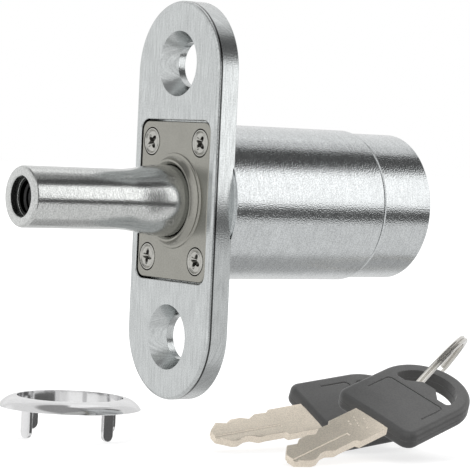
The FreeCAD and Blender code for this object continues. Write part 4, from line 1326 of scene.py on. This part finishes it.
@dataclass(frozen=True)
class Viewpoint:
    """The photograph's camera, found from the lock's outlines; its angles are in degrees."""

    azimuth: float = -35.99
    elevation: float = 2.2
    roll: float = 2.58
    distance: float = 0.3333
    pixels_per_mm: float = 7.088
    # The picture's side, and where the solids' origin stands across and down it, in pixels
    frame_side: float = 470.0
    origin_across: float = 191.8
    origin_down: float = 201.09
    sensor: float = 36.0
    clip: tuple[float, float] = (0.01, 20.0)

    def build(self) -> bpy.types.Object:
        """Place the camera.

        Returns:
            The scene's camera.
        """
        azimuth, elevation, roll = (math.radians(a) for a in (self.azimuth, self.elevation, self.roll))
        flat = math.cos(elevation)
        back = Vector((math.sin(azimuth) * flat, -math.cos(azimuth) * flat, math.sin(elevation)))
        level = Vector((math.cos(azimuth), math.sin(azimuth), 0.0))
        upright = back.cross(level)
        right = level * math.cos(roll) + upright * math.sin(roll)
        up = upright * math.cos(roll) - level * math.sin(roll)
        focal = self.pixels_per_mm * self.distance / MM
        half = self.frame_side / 2
        across = -(self.origin_across - half) / focal * self.distance
        down = (self.origin_down - half) / focal * self.distance
        data = bpy.data.cameras.new("photo_camera")
        data.sensor_width = self.sensor
        data.lens = focal * self.sensor / self.frame_side
        data.clip_start, data.clip_end = self.clip
        camera = bpy.data.objects.new("photo_camera", data)
        bpy.context.scene.collection.objects.link(camera)
        turn = Matrix((right, up, back)).transposed().to_4x4()
        camera.matrix_world = Matrix.Translation(right * across + up * down + back * self.distance) @ turn
        bpy.context.scene.camera = camera
        return camera


@dataclass(frozen=True)
class Panel:
    """One light or dark panel of the studio that the metal reflects, in degrees round the lock."""

    azimuth: float
    half_width: float
    low: float
    high: float
    brightness: float
    soft: float


@dataclass(frozen=True)
class Studio:
    """Pale floor, a white surround and the soft studio that the metal reflects."""

    floor_height: float = -36.0 * MM
    floor_side: float = 6.0
    floor_seen: float = 0.42
    floor_lift: float = 0.72
    floor_bounce: float = 0.4
    # The even light on everything but metal: the heights between which it grows, and its strengths there
    level_range: tuple[float, float] = (-0.1, 1.0)
    levels: tuple[float, float] = (0.35, 1.2)
    lamp_place: tuple[float, float, float] = (0.25, 0.35, 1.2)
    lamp_side: float = 0.9
    lamp_watts: float = 7.0
    surround: float = 0.84
    # Azimuth, half width, lower and upper edge, brightness and softness; a later one covers an earlier one
    panels: tuple[Panel, ...] = (
        Panel(0.0, 190.0, 60.0, 98.0, 0.32, 8.0),
        Panel(132.0, 17.0, 45.0, 76.0, 1.1, 8.0),
        Panel(103.0, 10.0, 52.0, 76.0, 0.62, 8.0),
        Panel(-62.0, 35.0, -30.0, 45.0, 1.05, 14.0),
        Panel(-145.0, 25.0, -25.0, 30.0, 1.02, 14.0),
        Panel(150.0, 32.0, 12.0, 46.0, 0.95, 8.0),
        Panel(110.0, 28.0, -66.0, -38.0, 0.5, 10.0),
        Panel(55.0, 38.0, 41.0, 60.0, 0.1, 7.0),
        Panel(49.0, 27.0, 0.5, 38.0, 1.5, 8.0),
        Panel(37.0, 38.0, -17.0, -3.0, 0.11, 6.0),
        Panel(5.0, 12.0, -40.0, 60.0, 0.14, 7.0),
    )

    def _held(self, graph: Graph, value: object, half: float, soft: float) -> bpy.types.NodeSocket:
        """Say how far a distance is inside a half width, softly."""
        return graph.ranged(value, half - soft / 2, half + soft / 2, 1.0, 0.0)

    def _reflected(self, graph: Graph) -> bpy.types.NodeSocket:
        """Add what metal sees of the studio.

        Args:
            graph: The world's graph.

        Returns:
            The brightness socket.
        """
        parts = graph.parts(graph.add("TexCoord").outputs["Generated"])
        degrees = math.degrees(1.0)
        facing = graph.maths("ARCTAN2", parts[0], graph.maths("MULTIPLY", parts[1], -1.0))
        azimuth = graph.maths("MULTIPLY", facing, degrees)
        height = graph.maths("MULTIPLY", graph.maths("ARCSINE", parts[2]), degrees)
        seen = self.surround
        for panel in self.panels:
            turned_by = graph.maths("SUBTRACT", azimuth, panel.azimuth)
            away = graph.maths("ABSOLUTE", graph.maths("WRAP", turned_by, 180.0, -180.0))
            middle, half_height = (panel.low + panel.high) / 2, (panel.high - panel.low) / 2
            above = graph.maths("ABSOLUTE", graph.maths("SUBTRACT", height, middle))
            in_width = self._held(graph, away, panel.half_width, panel.soft)
            in_height = self._held(graph, above, half_height, panel.soft)
            inside = graph.maths("MULTIPLY", in_width, in_height)
            seen = graph.add("Mix", {0: inside, 2: seen, 3: panel.brightness}, data_type="FLOAT").outputs[0]
        return seen

    def _world(self) -> None:
        """Build the surround: white to the camera, a soft studio to metal, an even level to the rest."""
        world = bpy.data.worlds.new("studio")
        bpy.context.scene.world = world
        graph = bare_graph(world)
        rays = graph.add("LightPath").outputs
        mirror = graph.maths("MAXIMUM", rays["Is Glossy Ray"], rays["Is Transmission Ray"])
        height = graph.parts(graph.add("TexCoord").outputs["Generated"])[2]
        level = graph.ranged(height, *self.level_range, *self.levels)
        studio, plain, shown = (
            graph.add("Background", {"Color": rgba(WHITE), "Strength": strength}).outputs[0]
            for strength in (self._reflected(graph), level, 1.0)
        )
        lit = graph.add("MixShader", {0: mirror, 1: plain, 2: studio})
        seen = graph.add("MixShader", {0: rays["Is Camera Ray"], 1: lit.outputs[0], 2: shown})
        output = graph.add("OutputWorld", {"Surface": seen.outputs[0]})
        output.is_active_output = True

    def _floor(self) -> None:
        """Build the floor, which stays white round the part's soft shadow."""
        mesh = bmesh.new()
        bmesh.ops.create_grid(mesh, x_segments=1, y_segments=1, size=self.floor_side / 2)
        bmesh.ops.translate(mesh, verts=mesh.verts, vec=(0, 0, self.floor_height))
        floor = linked_object("floor", mesh)
        material = bpy.data.materials.new("floor_white")
        graph = bare_graph(material)
        camera_ray = graph.add("LightPath").outputs["Is Camera Ray"]
        lift = graph.maths("MULTIPLY", camera_ray, self.floor_lift)
        bounce, seen = (self.floor_bounce,) * 3, (self.floor_seen,) * 3
        matt = graph.add("BsdfDiffuse", {"Color": graph.blend(camera_ray, rgba(bounce), rgba(seen))})
        glow = graph.add("Emission", {"Color": rgba(WHITE), "Strength": lift})
        both = graph.add("AddShader", {0: matt.outputs[0], 1: glow.outputs[0]})
        graph.add("OutputMaterial", {"Surface": both.outputs[0]})
        floor.data.materials.append(material)
        floor.visible_glossy = False

    def _lamp(self) -> None:
        """Add the soft lamp, which looks at the lock and isn't mirrored by it."""
        data = bpy.data.lights.new("window_lamp", "AREA")
        data.size = self.lamp_side
        data.energy = self.lamp_watts
        lamp = bpy.data.objects.new("window_lamp", data)
        bpy.context.scene.collection.objects.link(lamp)
        lamp.location = self.lamp_place
        lamp.rotation_mode = "QUATERNION"
        lamp.rotation_quaternion = Vector(self.lamp_place).to_track_quat("Z", "Y")
        lamp.visible_glossy = False

    def build(self) -> None:
        """Build surround, floor and lamp."""
        self._world()
        self._floor()
        self._lamp()
        bpy.context.scene.view_settings.view_transform = "Standard"


def main() -> None:
    """Build the camera, the studio and every sub-assembly."""
    logging.basicConfig(level=logging.INFO)
    Viewpoint().build()
    Studio().build()
    for assembly in (LockBody(), PushCylinder(), LoosePieces()):
        for piece in assembly.build():
            LOG.info("%s: %s", type(assembly).__name__, piece)


if __name__ == "__main__":
    main()
